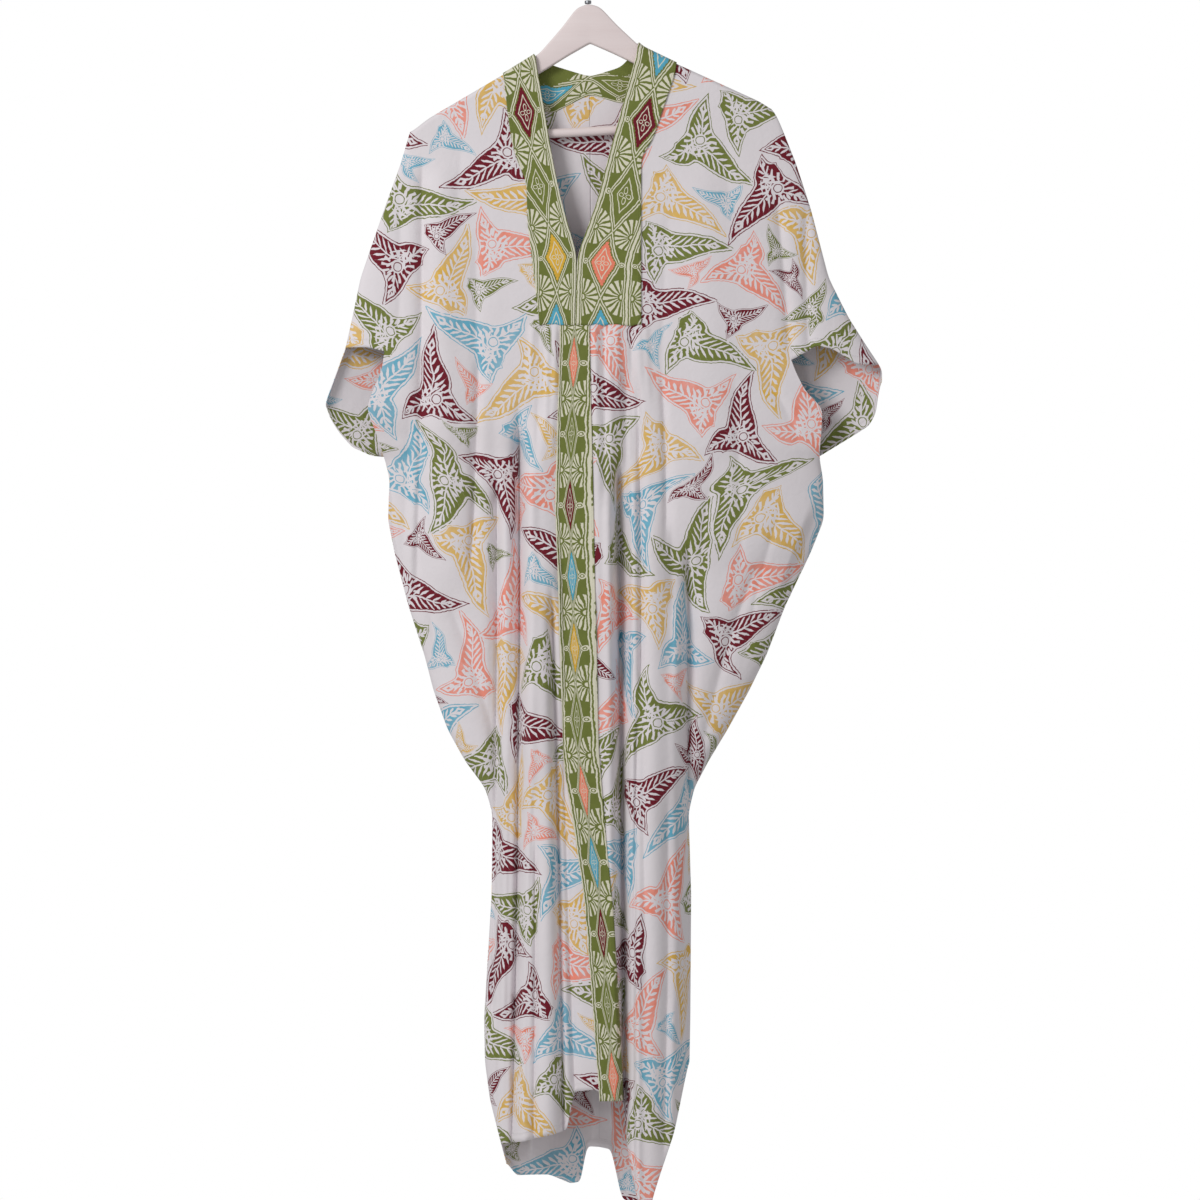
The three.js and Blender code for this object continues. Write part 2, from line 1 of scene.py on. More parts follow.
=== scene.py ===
"""Batik kaftan dress on its wooden hanger: the looks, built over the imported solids.

The cloth is worked out in millimetres as surfaces over a place across (x) and a drop below the hook's
hanging point, and turned into metres when its mesh is made.
"""

import math
from functools import reduce

import bpy
import numpy as np
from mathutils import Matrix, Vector
from bpy.props import FloatProperty, FloatVectorProperty, IntProperty, PointerProperty


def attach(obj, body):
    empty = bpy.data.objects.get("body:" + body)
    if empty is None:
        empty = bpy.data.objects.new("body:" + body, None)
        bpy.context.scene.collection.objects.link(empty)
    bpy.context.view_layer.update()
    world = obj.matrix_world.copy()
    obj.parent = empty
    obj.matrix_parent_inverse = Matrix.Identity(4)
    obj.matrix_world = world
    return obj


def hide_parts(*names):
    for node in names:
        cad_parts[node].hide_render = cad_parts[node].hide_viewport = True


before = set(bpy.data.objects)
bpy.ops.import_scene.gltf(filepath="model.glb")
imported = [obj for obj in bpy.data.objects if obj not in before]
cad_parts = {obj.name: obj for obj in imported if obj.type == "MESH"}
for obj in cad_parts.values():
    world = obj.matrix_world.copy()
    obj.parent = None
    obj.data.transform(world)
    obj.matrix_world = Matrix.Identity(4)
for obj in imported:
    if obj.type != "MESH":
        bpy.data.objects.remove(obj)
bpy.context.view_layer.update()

bl_info = {
    "name": "Batik kaftan dress",
    "version": (1, 0, 0),
    "blender": (4, 2, 0),
    "location": "3D View > Sidebar > Kaftan",
    "description": "Builds a batik kaftan dress with its border bands, hanging on a wooden hanger",
    "category": "Add Mesh",
}

MM = 0.001

# Heights, as drops in millimetres
YOKE = 447
UNDERARM = 604
HUMP = 59

# Thicknesses and small gaps, in millimetres
SEAM = 0.3
STRIP_LIFT = 1.5
SHOULDER_ROUND = 5
FOLD_FADE = 45
GATHER_FADE = 8
STRIP_SMOOTH = 9
SLOPE_STEP = 0.5

# Turn of the hanger, and with it of the shoulders, in the picture's plane
TILT = math.radians(3)


def table(columns, rows):
    """Rows of numbers as named columns."""
    return dict(zip(columns.split(), np.array(rows, float).T))


ARM = table("out drop", [
    (0, -2), (14, 2), (32, 24), (62, 55), (102, 77), (150, 102), (200, 128), (221, 143),
])

OUTWARD = {"left": -1, "right": 1}

# Side outline of the dress: overarm to the cuff tip, then the side seam
SIDES = table("drop left right", [
    (176, -209, 216), (190, -209, 228), (205, -209, 235), (250, -222, 253), (308, -243, 272),
    (389, -271, 293), (437, -281, 317), (473, -289, 340), (500, -299, 358), (541, -314, 354),
    (567, -312, 346), (590, -300, 326), (604, -243, 281), (630, -236, 286), (680, -238, 287),
    (720, -230, 271), (785, -213, 240), (843, -194, 218), (886, -183, 197), (933, -166, 171),
    (971, -145, 148), (1003, -121, 131), (1033, -112, 124), (1132, -113, 127), (1281, -122, 126),
    (1334, -121, 125), (1379, -115, 121), (1439, -100, 116), (1490, -86, 110),
])
CUFF_TIP = {"left": 541, "right": 507}

# Line from the shoulder down the sleeve mouth's front edge to the underarm
SLEEVE_LINE = table("drop left right", [
    (177, -187, 209), (480, -242, 244), (502, -245, 252), (526, -256, 264), (547, -263, 285),
    (579, -251, 283), (604, -243, 281),
])

# Edge of the V neck, then the centre front
NECK = table("drop left right", [
    (114, -62, 63), (249, -39, 26), (297, -29, 14), (363, -10, -10), (451, -13, -13),
    (657, -13, -13), (957, -5, -5), (1137, 16, 16), (1377, 31, 31),
])
BAND_EDGE = table("drop left right", [
    (140, -99, 109), (190, -94, 92), (225, -89, 80), (243, -84, 67), (275, -71, 67), (321, -70, 67),
    (447, -55, 67),
])
PLACKET_EDGE = table("drop left right", [
    (447, -31, 5), (657, -37, 10), (957, -27, 16), (1137, -1, 32), (1377, 17, 44),
])
CENTRE_BACK = table("drop x", [(166, 5), (1441, 17)])

# Half depths of the hanging tube, and how square its section is (2 is an ellipse)
DEPTHS = table("drop front back power", [
    (110, 9, 9, 10), (230, 11, 12, 8), (330, 18, 16, 5), (450, 24, 20, 4), (604, 30, 26, 3),
    (800, 38, 34, 2.6), (1000, 46, 40, 2.4), (1200, 46, 42, 2.4), (1520, 42, 40, 2.4),
])

# Hems by the part of the way across from the centre (0) to the side (1)
HEMS = {
    "front_left": table("across drop", [
        (0, 1375), (0.12, 1363), (0.3, 1366), (0.38, 1412), (0.6, 1419), (1, 1433),
    ]),
    "front_right": table("across drop", [
        (0, 1375), (0.16, 1377), (0.23, 1440), (0.4, 1497), (0.5, 1511), (0.6, 1503), (0.68, 1475),
        (0.87, 1414), (1, 1329),
    ]),
    "back_left": table("across drop", [
        (0, 1441), (0.13, 1440), (0.22, 1483), (0.34, 1485), (0.57, 1474), (0.94, 1473), (1, 1455),
    ]),
    "back_right": table("across drop", [
        (0, 1441), (0.14, 1444), (0.29, 1503), (0.44, 1510), (0.61, 1509), (0.71, 1475), (0.88, 1414),
        (1, 1329),
    ]),
}

# Sleeve hems by the part of the way from the sleeve line (0) to the overarm (1)
CUFFS = {
    "front_left": table("across drop", [(0, 478), (0.45, 473), (1, 473)]),
    "front_right": table("across drop", [
        (0, 489), (0.25, 477), (0.35, 471), (0.55, 475), (0.75, 494), (1, 493),
    ]),
    "back_left": table("across drop", [
        (0, 604), (0.2, 603), (0.53, 592), (0.76, 573), (0.93, 555), (1, 541),
    ]),
    "back_right": table("across drop", [(0, 604), (0.51, 580), (0.8, 566), (0.92, 549), (1, 507)]),
}

# Strip round the back neck: its upper edge and its seam with the backs
BACK_BAND = table("x top bottom", [
    (-95, 141, 153), (-73, 127, 177), (-62, 119, 183), (-41, 131, 190), (5, 145, 166), (44, 133, 178),
    (63, 109, 172), (80, 118, 167), (105, 131, 143),
])

# Folds: where the ridge (+) or trough (-) starts and ends, its half width, rise and sideways bow
FOLD_COLUMNS = "top bottom start end width rise bow"
FRONT_FOLDS = table(FOLD_COLUMNS, [
    # main creases, as in the solid
    (270, 480, -224, -226, 10, -3, 2), (240, 800, -197, -205, 9, -9, 3), (240, 780, -175, -160, 22, 5, -4),
    (513, 960, -111, -109, 22, -5, 3), (531, 900, -80, -73, 8, -9, -3), (700, 1620, -52, -50, 26, 9, 0),
    (540, 1440, -55, -45, 16, 6, 3), (873, 1430, -27, -10, 7, -9, -2), (430, 800, 13, 15, 6, 3, 1),
    (430, 820, 31, 32, 7, 4, -2), (480, 900, 48, 46, 10, -10, 2), (600, 1600, 39, 48, 6.5, -32, 1),
    (660, 1600, 78, 84, 22, 11, 3), (730, 980, 123, 118, 12, -7, 3), (280, 500, 229, 246, 9, -7, 2),
    (290, 500, 266, 270, 8, -6, -2), (240, 620, 137, 150, 30, 4, 4), (760, 1010, -172, -96, 12, -7, 8),
    (720, 980, 212, 136, 12, -7, -8), (430, 620, -40, -41, 5.5, 3, 1), (430, 560, -54, -56, 5, 2.5, -1),
    (430, 590, 63, 66, 6, 3, 1),
    # the dark lines beside the pleats
    (640, 1600, 27, 33, 7, 6, 1), (620, 1600, 56, 62, 6, 6, 1),
    (560, 1620, -80, -94, 5.5, -21, 5), (620, 1300, -107, -113, 5, -16, 2), (760, 1620, -41, -24, 5, -16, 2),
    (700, 1620, 122, 118, 5, -13, 3), (500, 900, 62, 66, 4.5, -10, 2), (900, 1620, 62, 60, 4.5, -10, -3),
    (470, 760, -128, -140, 5, -7, 2), (500, 720, 92, 96, 4.5, -6, 2), (1050, 1620, -60, -66, 4, -7, 2),
    (600, 1620, -66, -80, 8, 7, 5), (640, 1300, -94, -101, 6, 5, 2), (760, 1620, 108, 104, 8, 6, 3),
    # drags and soft ripples
    (480, 600, 200, 262, 9, -3.2, 5), (500, 760, 178, 186, 8, -2.6, 3), (300, 560, 100, 92, 9, -1.8, -3),
    (330, 640, -132, -138, 9, -2.6, 3), (560, 880, 96, 104, 9, -3.4, 3), (620, 900, 152, 128, 8, -2.8, -4),
    (560, 780, -140, -132, 7, -2.6, 2), (1010, 1450, 98, 94, 7, -5, 2), (900, 1250, 70, 74, 6, -3, -2),
    (960, 1430, -104, -106, 6, -4, 2), (980, 1400, -60, -70, 6, -3.4, -3), (600, 980, -94, -96, 6, -3.2, 2),
    (860, 1180, 108, 112, 6, -3, 1), (660, 860, 236, 190, 7, -2.8, -5), (700, 860, -206, -180, 7, -2.6, 4),
    (205, 330, -150, -158, 12, -1.6, 2), (210, 330, 168, 178, 12, -1.6, -2), (1180, 1500, 62, 60, 7, 4, -2),
    (1150, 1440, -30, -26, 6, 3, 2), (1240, 1500, 104, 100, 6, 3.4, 1),
])
BACK_FOLDS = table(FOLD_COLUMNS, [
    (250, 820, -190, -180, 11, -8, 3), (300, 620, -120, -125, 20, -5, -3), (420, 1000, -70, -60, 12, -9, 4),
    (860, 1470, -62, -66, 10, -15, -3), (600, 1450, -28, -22, 16, 7, 2), (520, 1430, 22, 30, 10, -11, -3),
    (640, 1450, 60, 62, 16, 6, 3), (300, 900, 110, 100, 18, -7, -4), (830, 1450, 96, 92, 9, -13, 3),
    (250, 640, 205, 215, 12, -8, 3), (740, 1010, -175, -98, 14, -8, 8), (740, 1000, 215, 134, 14, -8, -8),
    # soft ripples
    (360, 700, -150, -152, 9, -2.8, 3), (300, 640, 60, 66, 10, -2.2, 2), (480, 860, 160, 150, 9, -3, -3),
    (560, 900, -100, -92, 8, -3, 2), (620, 900, 70, 74, 8, -3, -2), (900, 1450, -92, -94, 7, -4, 2),
    (940, 1450, 6, 8, 7, -4, 2), (900, 1400, 74, 76, 6, -3, -2), (1000, 1480, -36, -40, 6, 4, 2),
    (420, 620, -230, -250, 8, -3, 2), (430, 600, 260, 286, 8, -3, -2), (680, 860, 232, 190, 8, -3, -5),
    (680, 860, -206, -176, 8, -3, 5),
])

# Fold-back edges: outside this line the cloth steps back
FRONT_LEDGES = table("top bottom start end width rise", [
    (540, 800, -205, -219, 7, -9), (650, 790, 280, 228, 7, -10), (560, 1620, -82, -96, 4, -5),
    (620, 1300, -109, -115, 4, -5), (700, 1620, 124, 120, 4, -6),
])

# Gathers under the yoke seam: they start sharply at the seam and die out below it
GATHERS = table(FOLD_COLUMNS, [
    (444, 560, -36, -35, 3.4, 2.4, 0), (444, 600, -46, -49, 3.6, 2.8, 1), (444, 545, -63, -68, 3.8, 2.0, 0),
    (444, 580, 11, 12, 3.2, 2.4, 0), (444, 660, 22, 23, 3.8, -3.0, 1), (444, 570, 38, 40, 3.6, 2.6, 0),
    (444, 640, 55, 59, 4.2, -3.0, -1), (444, 560, 72, 77, 4.0, 1.8, 0), (444, 620, -55, -59, 3.4, -2.2, 0),
])


def ease(value, low, high):
    """Smooth step from 0 at low to 1 at high."""
    t = np.clip((value - low) / (high - low), 0, 1)
    return t * t * (3 - 2 * t)


def together(*parts):
    """These numbers side by side as the last axis, all spread to one shape."""
    return np.stack(np.broadcast_arrays(*parts), axis=-1)


def turned(x, y, cos, sin):
    """Places x, y turned by the angle that has this cosine and sine."""
    return together(x * cos - y * sin, x * sin + y * cos)


def blend(a, b, share):
    """The place a share of the way from a to b."""
    return a + (b - a) * share


def soft_line(rows, key, column, blur=6.0, step=1.0):
    """Straight lines between a table's rows, rounded off over the blur and level beyond its ends."""
    pad = int(3 * blur / step)
    at = np.arange(rows[key][0] - 2 * pad * step, rows[key][-1] + 2 * pad * step, step)
    straight = np.interp(at, rows[key], rows[column])
    weight = np.exp(-0.5 * (np.arange(-pad, pad + 1) * step / blur) ** 2)
    smooth = np.convolve(straight, weight / weight.sum(), "valid")
    return lambda place: np.interp(place, at[pad:-pad], smooth)


def side_lines(rows, blur):
    """A pair of soft lines, for the left and the right of the dress."""
    return {side: soft_line(rows, "drop", side, blur) for side in ("left", "right")}


def shoulder_rows():
    """The arms' line over both shoulders, turned with the hanger."""
    out = np.concatenate((-ARM["out"][:0:-1], ARM["out"]))
    below = HUMP + np.concatenate((ARM["drop"][:0:-1], ARM["drop"]))
    return {
        "x": out * math.cos(TILT) + below * math.sin(TILT),
        "drop": below * math.cos(TILT) - out * math.sin(TILT),
    }


def body_side_rows():
    """The sleeve mouth's front edge down to the underarm, then the side seam."""
    below = SIDES["drop"] > UNDERARM
    return {name: np.concatenate((SLEEVE_LINE[name], SIDES[name][below])) for name in SIDES}


shoulder = soft_line(shoulder_rows(), "x", "drop", 4)
outline = side_lines(SIDES, 5)
body_side = side_lines(body_side_rows(), 5)
neck = side_lines(NECK, 9)
band_edge = side_lines(BAND_EDGE, 6)
placket_edge = side_lines(PLACKET_EDGE, 9)
centre_back = soft_line(CENTRE_BACK, "drop", "x", 9)
half_depth = {name: soft_line(DEPTHS, "drop", name, 25) for name in ("front", "back", "power")}
hem_line = {name: soft_line(rows, "across", "drop", 0.02, 0.004) for name, rows in HEMS.items()}
cuff_line = {name: soft_line(rows, "across", "drop", 0.03, 0.004) for name, rows in CUFFS.items()}
neck_strip = {name: soft_line(BACK_BAND, "x", name, 5) for name in ("top", "bottom")}


def clear_of_strips(x, drop):
    """0 inside a sewn-on strip, which stays smooth, rising to 1 over its edge."""
    low = np.where(drop > YOKE, placket_edge["left"](drop), band_edge["left"](drop))
    high = np.where(drop > YOKE, placket_edge["right"](drop), band_edge["right"](drop))
    return ease(np.maximum(low - x, x - high), -STRIP_SMOOTH, STRIP_SMOOTH / 2)


def fold_rise(folds, x, drop, fade=FOLD_FADE):
    """Sum of ridges, each rise * exp(-(distance from its line / width)^2), faded at both ends.

    A trough is a sharper crease, rise * exp(-1.3 * distance / width), with only its bottom rounded."""
    rise = np.zeros(np.broadcast(x, drop).shape)
    for top, bottom, start, end, width, height, bow in zip(*folds.values()):
        share = np.clip((drop - top) / (bottom - top), 0, 1)
        line = blend(start, end, share) + bow * np.sin(math.pi * share)
        strength = ease(drop, top, top + fade) * ease(-drop, -bottom, FOLD_FADE - bottom)
        away = (x - line) / width
        bell = np.exp(-away ** 2) if height > 0 else np.exp(-1.3 * (np.sqrt(away ** 2 + 0.05) - 0.22))
        rise += height * strength * bell
    return rise


def ledge_rise(ledges, x, drop):
    """Sum of the fold-back edges: a smooth step outwards across each line."""
    rise = np.zeros(np.broadcast(x, drop).shape)
    for top, bottom, start, end, width, height in zip(*ledges.values()):
        line = blend(start, end, np.clip((drop - top) / (bottom - top), 0, 1))
        strength = ease(drop, top, top + FOLD_FADE) * ease(-drop, -bottom, FOLD_FADE - bottom)
        rise += height * strength * ease(np.sign(start) * (x - line), -width, width)
    return rise


def cloth_depth(face, x, drop):
    """Distance from the side seams' plane: a rounded lens between the outlines plus the folds,
    turned over at the shoulder like a quarter ellipse. face is -1 in front and 1 behind."""
    left = outline["left"](drop)
    right = outline["right"](drop)
    across = np.minimum(1, np.abs((2 * x - left - right) / (right - left)))
    power = half_depth["power"](drop)
    lens = (1 - across ** power) ** (1 / power)
    turn = np.sqrt(1 - (1 - np.clip((drop - shoulder(x)) / SHOULDER_ROUND, 0, 1)) ** 2)
    base = half_depth["front" if face < 0 else "back"](drop)
    if face < 0:
        folds = fold_rise(FRONT_FOLDS, x, drop) + ledge_rise(FRONT_LEDGES, x, drop)
        folds = clear_of_strips(x, drop) * (folds + fold_rise(GATHERS, x, drop, GATHER_FADE))
    else:
        folds = fold_rise(BACK_FOLDS, x, drop)
    return np.maximum(0, turn * (lens * base + np.sqrt(lens) * folds))


def cloth_points(face, x, drop, lift=0.0):
    """Points of the cloth at these places, moved out along its normal by the lift, and its slope across."""
    step = SLOPE_STEP
    across = (cloth_depth(face, x + step, drop) - cloth_depth(face, x - step, drop)) / (2 * step)
    down = (cloth_depth(face, x, drop + step) - cloth_depth(face, x, drop - step)) / (2 * step)
    depth = cloth_depth(face, x, drop)
    middle = together(x, face * (SEAM / 2 + depth), -drop)
    normal = together(-across, face, down)
    normal /= np.linalg.norm(normal, axis=-1, keepdims=True)
    flat = drop - shoulder(x) < SHOULDER_ROUND + 1
    return middle + lift * normal, np.where(flat, 0, across)


def flat_across(x, slope, start):
    """Place across on the cloth laid flat: the start plus the length along each row of the folds."""
    length = np.diff(x, axis=0) * np.sqrt(1 + ((slope[1:] + slope[:-1]) / 2) ** 2)
    return start + np.concatenate((np.zeros((1, x.shape[1])), np.cumsum(length, axis=0)))


def towards_end(count):
    """Shares from 0 to 1 that crowd together towards 1, where the cloth turns most."""
    return 1 - (1 - np.linspace(0, 1, count + 1)) ** CROWDING


# Rows that turn over the shoulder, as drops below its line, and the panels' rows from there on:
# down to the sleeve's hem, to the underarm in front, and to the hem
TOP_OFFSETS = np.array([0, 0.25, 0.7, 1.4, 2.3, 3.4, 4.6, 6.0])
PANEL_ROWS = {"front": (80, 26, 150), "back": (106, 150)}
BODY_COLUMNS = 160
SLEEVE_COLUMNS = 40
CROWDING = 1.3

# Steps that settle a column's top on a sloping edge, and the drop where they start
SETTLE_STEPS = 14
SETTLE_FROM = 100.0


def rows_between(levels, counts):
    """Drops of a panel's rows for each column, from the shoulder's turn down through the levels."""
    rows = [levels[0][:, None] + TOP_OFFSETS[None, :]]
    start = rows[0][:, -1]
    for level, count in zip(levels[1:], counts):
        share = np.arange(1, count + 1) / count
        rows.append(blend(start[:, None], level[:, None], share[None, :]))
        start = level
    return np.concatenate(rows, axis=1)


def settled(place, edge):
    """Drops at which the columns meet a sloping edge, found by stepping between place and edge."""
    drop = np.full_like(place(SETTLE_FROM), 2.0 * HUMP)
    for _ in range(SETTLE_STEPS):
        drop = edge(place(drop))
    return drop


def panel_places(name):
    """Places (x, drop) of a panel's grid, columns first: the body from the centre to the sleeve line or the
    side seam, then the sleeve, and which cells of the grid the panel fills."""
    kind, side = name.split("_")
    outward = OUTWARD[side]
    centre = neck[side] if kind == "front" else centre_back
    gap = SEAM / 2 if kind == "front" else 0
    body = towards_end(BODY_COLUMNS)
    sleeve = towards_end(SLEEVE_COLUMNS)[1:]

    def body_place(drop, share=body):
        return blend(centre(drop) + outward * gap, body_side[side](drop), share)

    def sleeve_place(drop, share=sleeve):
        tip = np.minimum(drop, CUFF_TIP[side])
        return blend(body_side[side](drop), outline[side](tip), share)

    edge = shoulder if kind == "front" else back_edge
    body_top = settled(body_place, edge)
    sleeve_top = settled(sleeve_place, shoulder)
    cuff = cuff_line[name]
    counts = PANEL_ROWS[kind]
    underarm = [np.full_like(body, UNDERARM)] if kind == "front" else []
    body_levels = [body_top, np.full_like(body, cuff(0.0)), *underarm, hem_line[name](body)]
    body_drop = rows_between(body_levels, counts)
    sleeve_drop = rows_between([sleeve_top, cuff(sleeve)], counts[:1])
    spare = body_drop.shape[1] - sleeve_drop.shape[1]
    sleeve_drop = np.pad(sleeve_drop, ((0, 0), (0, spare)), mode="edge")
    drop = np.concatenate((body_drop, sleeve_drop))
    x = np.concatenate((body_place(body_drop, body[:, None]), sleeve_place(sleeve_drop, sleeve[:, None])))
    kept = np.ones((drop.shape[0] - 1, drop.shape[1] - 1), bool)
    kept[len(body) - 1:, drop.shape[1] - 1 - spare:] = False
    return x, drop, kept


def back_edge(x):
    """Upper edge of the backs: tucked into the strip round the neck, and the shoulder seam beside it."""
    inside = (x > BACK_BAND["x"][0] + 2) & (x < BACK_BAND["x"][-1] - 2)
    return np.where(inside, neck_strip["bottom"](x) - 4, shoulder(x))


def grid_object(name, points, maps, kept=None, flip=False):
    """A smooth mesh over a grid of points, given in millimetres, with the grid's maps as UV maps."""
    index = np.arange(points.shape[0] * points.shape[1]).reshape(points.shape[:2])
    cells = together(index[:-1, :-1], index[:-1, 1:], index[1:, 1:], index[1:, :-1])
    cells = cells.reshape(-1, 4) if kept is None else cells[kept]
    used, corners = np.unique(cells[:, ::-1] if flip else cells, return_inverse=True)
    corners = corners.reshape(-1)
    mesh = bpy.data.meshes.new(name)
    mesh.vertices.add(len(used))
    mesh.vertices.foreach_set("co", (points.reshape(-1, 3)[used] * MM).ravel())
    mesh.loops.add(len(corners))
    mesh.loops.foreach_set("vertex_index", corners)
    mesh.polygons.add(len(corners) // 4)
    mesh.polygons.foreach_set("loop_start", np.arange(0, len(corners), 4))
    mesh.polygons.foreach_set("use_smooth", np.ones(len(corners) // 4, bool))
    mesh.update(calc_edges=True)
    for map_name, places in maps.items():
        add_map(mesh, map_name, places.reshape(-1, 2)[used][corners])
    obj = bpy.data.objects.new(name, mesh)
    bpy.context.scene.collection.objects.link(obj)
    return obj


def add_map(mesh, name, corners):
    """A UV map from one pair of numbers for each face corner."""
    layer = mesh.uv_layers.new(name=name)
    layer.data.foreach_set("uv", np.ascontiguousarray(corners, dtype=np.float32).ravel())


def read_map(mesh, name):
    """A UV map as (faces, 4 corners, 2 numbers)."""
    places = np.empty(2 * len(mesh.loops), np.float32)
    mesh.uv_layers[name].data.foreach_get("uv", places)
    return places.reshape(-1, 4, 2)


def thicken(obj, thickness):
    """Gives a sheet its thickness, in millimetres, evenly on both sides."""
    solidify = obj.modifiers.new("Thickness", "SOLIDIFY")
    solidify.thickness = thickness * MM
    solidify.offset = 0


# The print's motif: lobes that leave a hub, each with a spine that bows and waves to one side.
# The tone, 0 to 1, of each motif swings and stretches them, so that no two motifs are quite alike.
LOBES = table("angle swing length growth width bow wave", [
    (0, 0, 84, -26, 16.5, 8, 5), (98, 50, 66, 24, 16, -8, -4), (222, -60, 30, 34, 12, 5, 0),
])
LOBE_START = 12
LOBE_SWELL = 0.62
LOBE_MERGE = 8.0
STROKE_PITCH = 9.0
HUB = {"x": 11, "y": 17, "radius": 7.5, "petals": 13, "petal_ring": (10.5, 19.0, 0.6)}
OUTLINE = (-3.0, -2.0)

# The dyes and how often each is used, and how much rarer a dye gets for each motif near by that has it
DYES = ("olive", "crimson", "coral", "blue", "yellow")
DYE_SHARES = (0.38, 0.2, 0.17, 0.14, 0.11)
SAME_DYE_REACH = 130
SAME_DYE_SHARE = 0.25

# The scatter: ranges of size from the largest motifs down, the gap between motifs, the room that a hub
# takes, the farthest room that is told apart, and how far from its centre a motif matters
MOTIF_SIZES = ((0.96, 1.12), (0.8, 0.92), (0.64, 0.76), (0.5, 0.6), (0.38, 0.46))
MOTIF_GAP = 4.5
HUB_ROOM = 17
OPEN_ROOM = 60.0
MOTIF_REACH = 170


def motif_skeleton(tone):
    """Points along the lobes' spines in the motif's own frame, and the lobe's half width at each."""
    share = np.linspace(0.1, 1, 9)
    places = []
    radii = []
    for angle, swing, length, growth, width, bow, wave in zip(*LOBES.values()):
        along = share * (length + growth * (tone - 0.5) + LOBE_START) - LOBE_START
        aside = bow * np.sin(math.pi * share) + wave * np.sin(2 * math.pi * share)
        turn = np.radians(angle + swing * (tone - 0.5))
        places.append(turned(along, aside, np.cos(turn), np.sin(turn)))
        radii.append(width * np.sin(math.pi * share ** LOBE_SWELL))
    return np.concatenate(places, axis=1), np.concatenate(radii)


def place_motif(points, angle, mirror, size):
    """Mirrors, scales and turns motif points, for whole arrays of motifs at once."""
    cos, sin = np.cos(angle) * size, np.sin(angle) * size
    return turned(points[..., 0], points[..., 1] * mirror, cos, sin)


def scatter_motifs(seed, low=(-400, 60), high=(400, 1560), cell=5, tries=4000):
    """Places motifs over the flat cloth, each time keeping the try whose places are nearest to the others."""
    rng = np.random.default_rng(seed)
    low, high = np.array(low, float), np.array(high, float)
    count = ((high - low) / cell).astype(int) + 1
    lattice = low + cell * np.stack(np.meshgrid(*map(np.arange, count), indexing="ij"), axis=-1)
    room = np.full(count, OPEN_ROOM)
    found = []
    for smallest, largest in MOTIF_SIZES:
        while True:
            spots = np.argwhere(room > HUB_ROOM * smallest)
            if not len(spots):
                break
            spot = spots[rng.integers(0, len(spots), tries)]
            centre = (low + cell * (spot + rng.uniform(-0.5, 0.5, (tries, 2))))[:, None]
            angle = rng.uniform(0, 2 * math.pi, (tries, 1))
            mirror = rng.choice((-1, 1), (tries, 1))
            size = rng.uniform(smallest, largest, (tries, 1))
            tone = rng.uniform(0, 1, (tries, 1))
            skeleton, radii = motif_skeleton(tone)
            points = centre + place_motif(skeleton, angle, mirror, size)
            at = np.clip(np.round((points - low) / cell).astype(int), 0, count - 1)
            clearance = room[at[..., 0], at[..., 1]] - radii * size
            looseness = clearance.mean(axis=1)
            looseness[clearance.min(axis=1) < MOTIF_GAP] = np.inf
            best = int(looseness.argmin())
            if not np.isfinite(looseness[best]):
                break
            first, last = (np.clip(((centre[best, 0] + reach - low) / cell).astype(int), 0, count - 1)
                           for reach in (-MOTIF_REACH, MOTIF_REACH))
            window = (slice(first[0], last[0] + 1), slice(first[1], last[1] + 1))
            away = np.linalg.norm(lattice[window][:, :, None] - points[best], axis=-1) - radii * size[best]
            room[window] = np.minimum(room[window], away.min(axis=-1))
            near = [row["dye"] for row in found
                    if np.linalg.norm(row["centre"] - centre[best, 0]) < SAME_DYE_REACH]
            shares = np.array([share * SAME_DYE_SHARE ** near.count(dye)
                               for dye, share in enumerate(DYE_SHARES)])
            found.append({
                "centre": centre[best, 0], "angle": angle[best, 0], "mirror": mirror[best, 0],
                "size": size[best, 0], "dye": int(rng.choice(len(DYES), p=shares / shares.sum())),
                "tone": tone[best, 0], "points": points[best], "radii": radii * size[best],
            })
    return {key: np.array([row[key] for row in found]) for key in found[0]}


def print_motifs(obj, motifs):
    """Gives each face the nearest motif's own frame as a UV map, and its dye and tone as another."""
    flat = read_map(obj.data, "Cloth")
    middle = flat.mean(axis=1)
    owner = np.zeros(len(middle), int)
    nearest = np.full(len(middle), np.inf)
    for k, centre in enumerate(motifs["centre"]):
        near = np.flatnonzero(np.abs(middle - centre).max(axis=1) < MOTIF_REACH)
        away = np.linalg.norm(middle[near, None] - motifs["points"][k], axis=-1) - motifs["radii"][k]
        away = away.min(axis=-1)
        closer = away < nearest[near]
        nearest[near[closer]] = away[closer]
        owner[near[closer]] = k
    from_centre = flat - motifs["centre"][owner][:, None]
    angle, size, mirror = (motifs[key][owner][:, None] for key in ("angle", "size", "mirror"))
    cos, sin = np.cos(angle) / size, np.sin(angle) / size
    x, y = from_centre[..., 0], from_centre[..., 1]
    own = together(x * cos + y * sin, (y * cos - x * sin) * mirror)
    add_map(obj.data, "Motif", own.reshape(-1, 2))
    mark_dye(obj.data, motifs["dye"][owner], motifs["tone"][owner])


def mark_dye(mesh, dye, tone):
    """Writes each face's dye number, as its place on the colour ramp, and its tone."""
    pair = together((dye + 0.5) / len(DYES), tone)
    add_map(mesh, "Dye", np.repeat(pair, 4, axis=0))


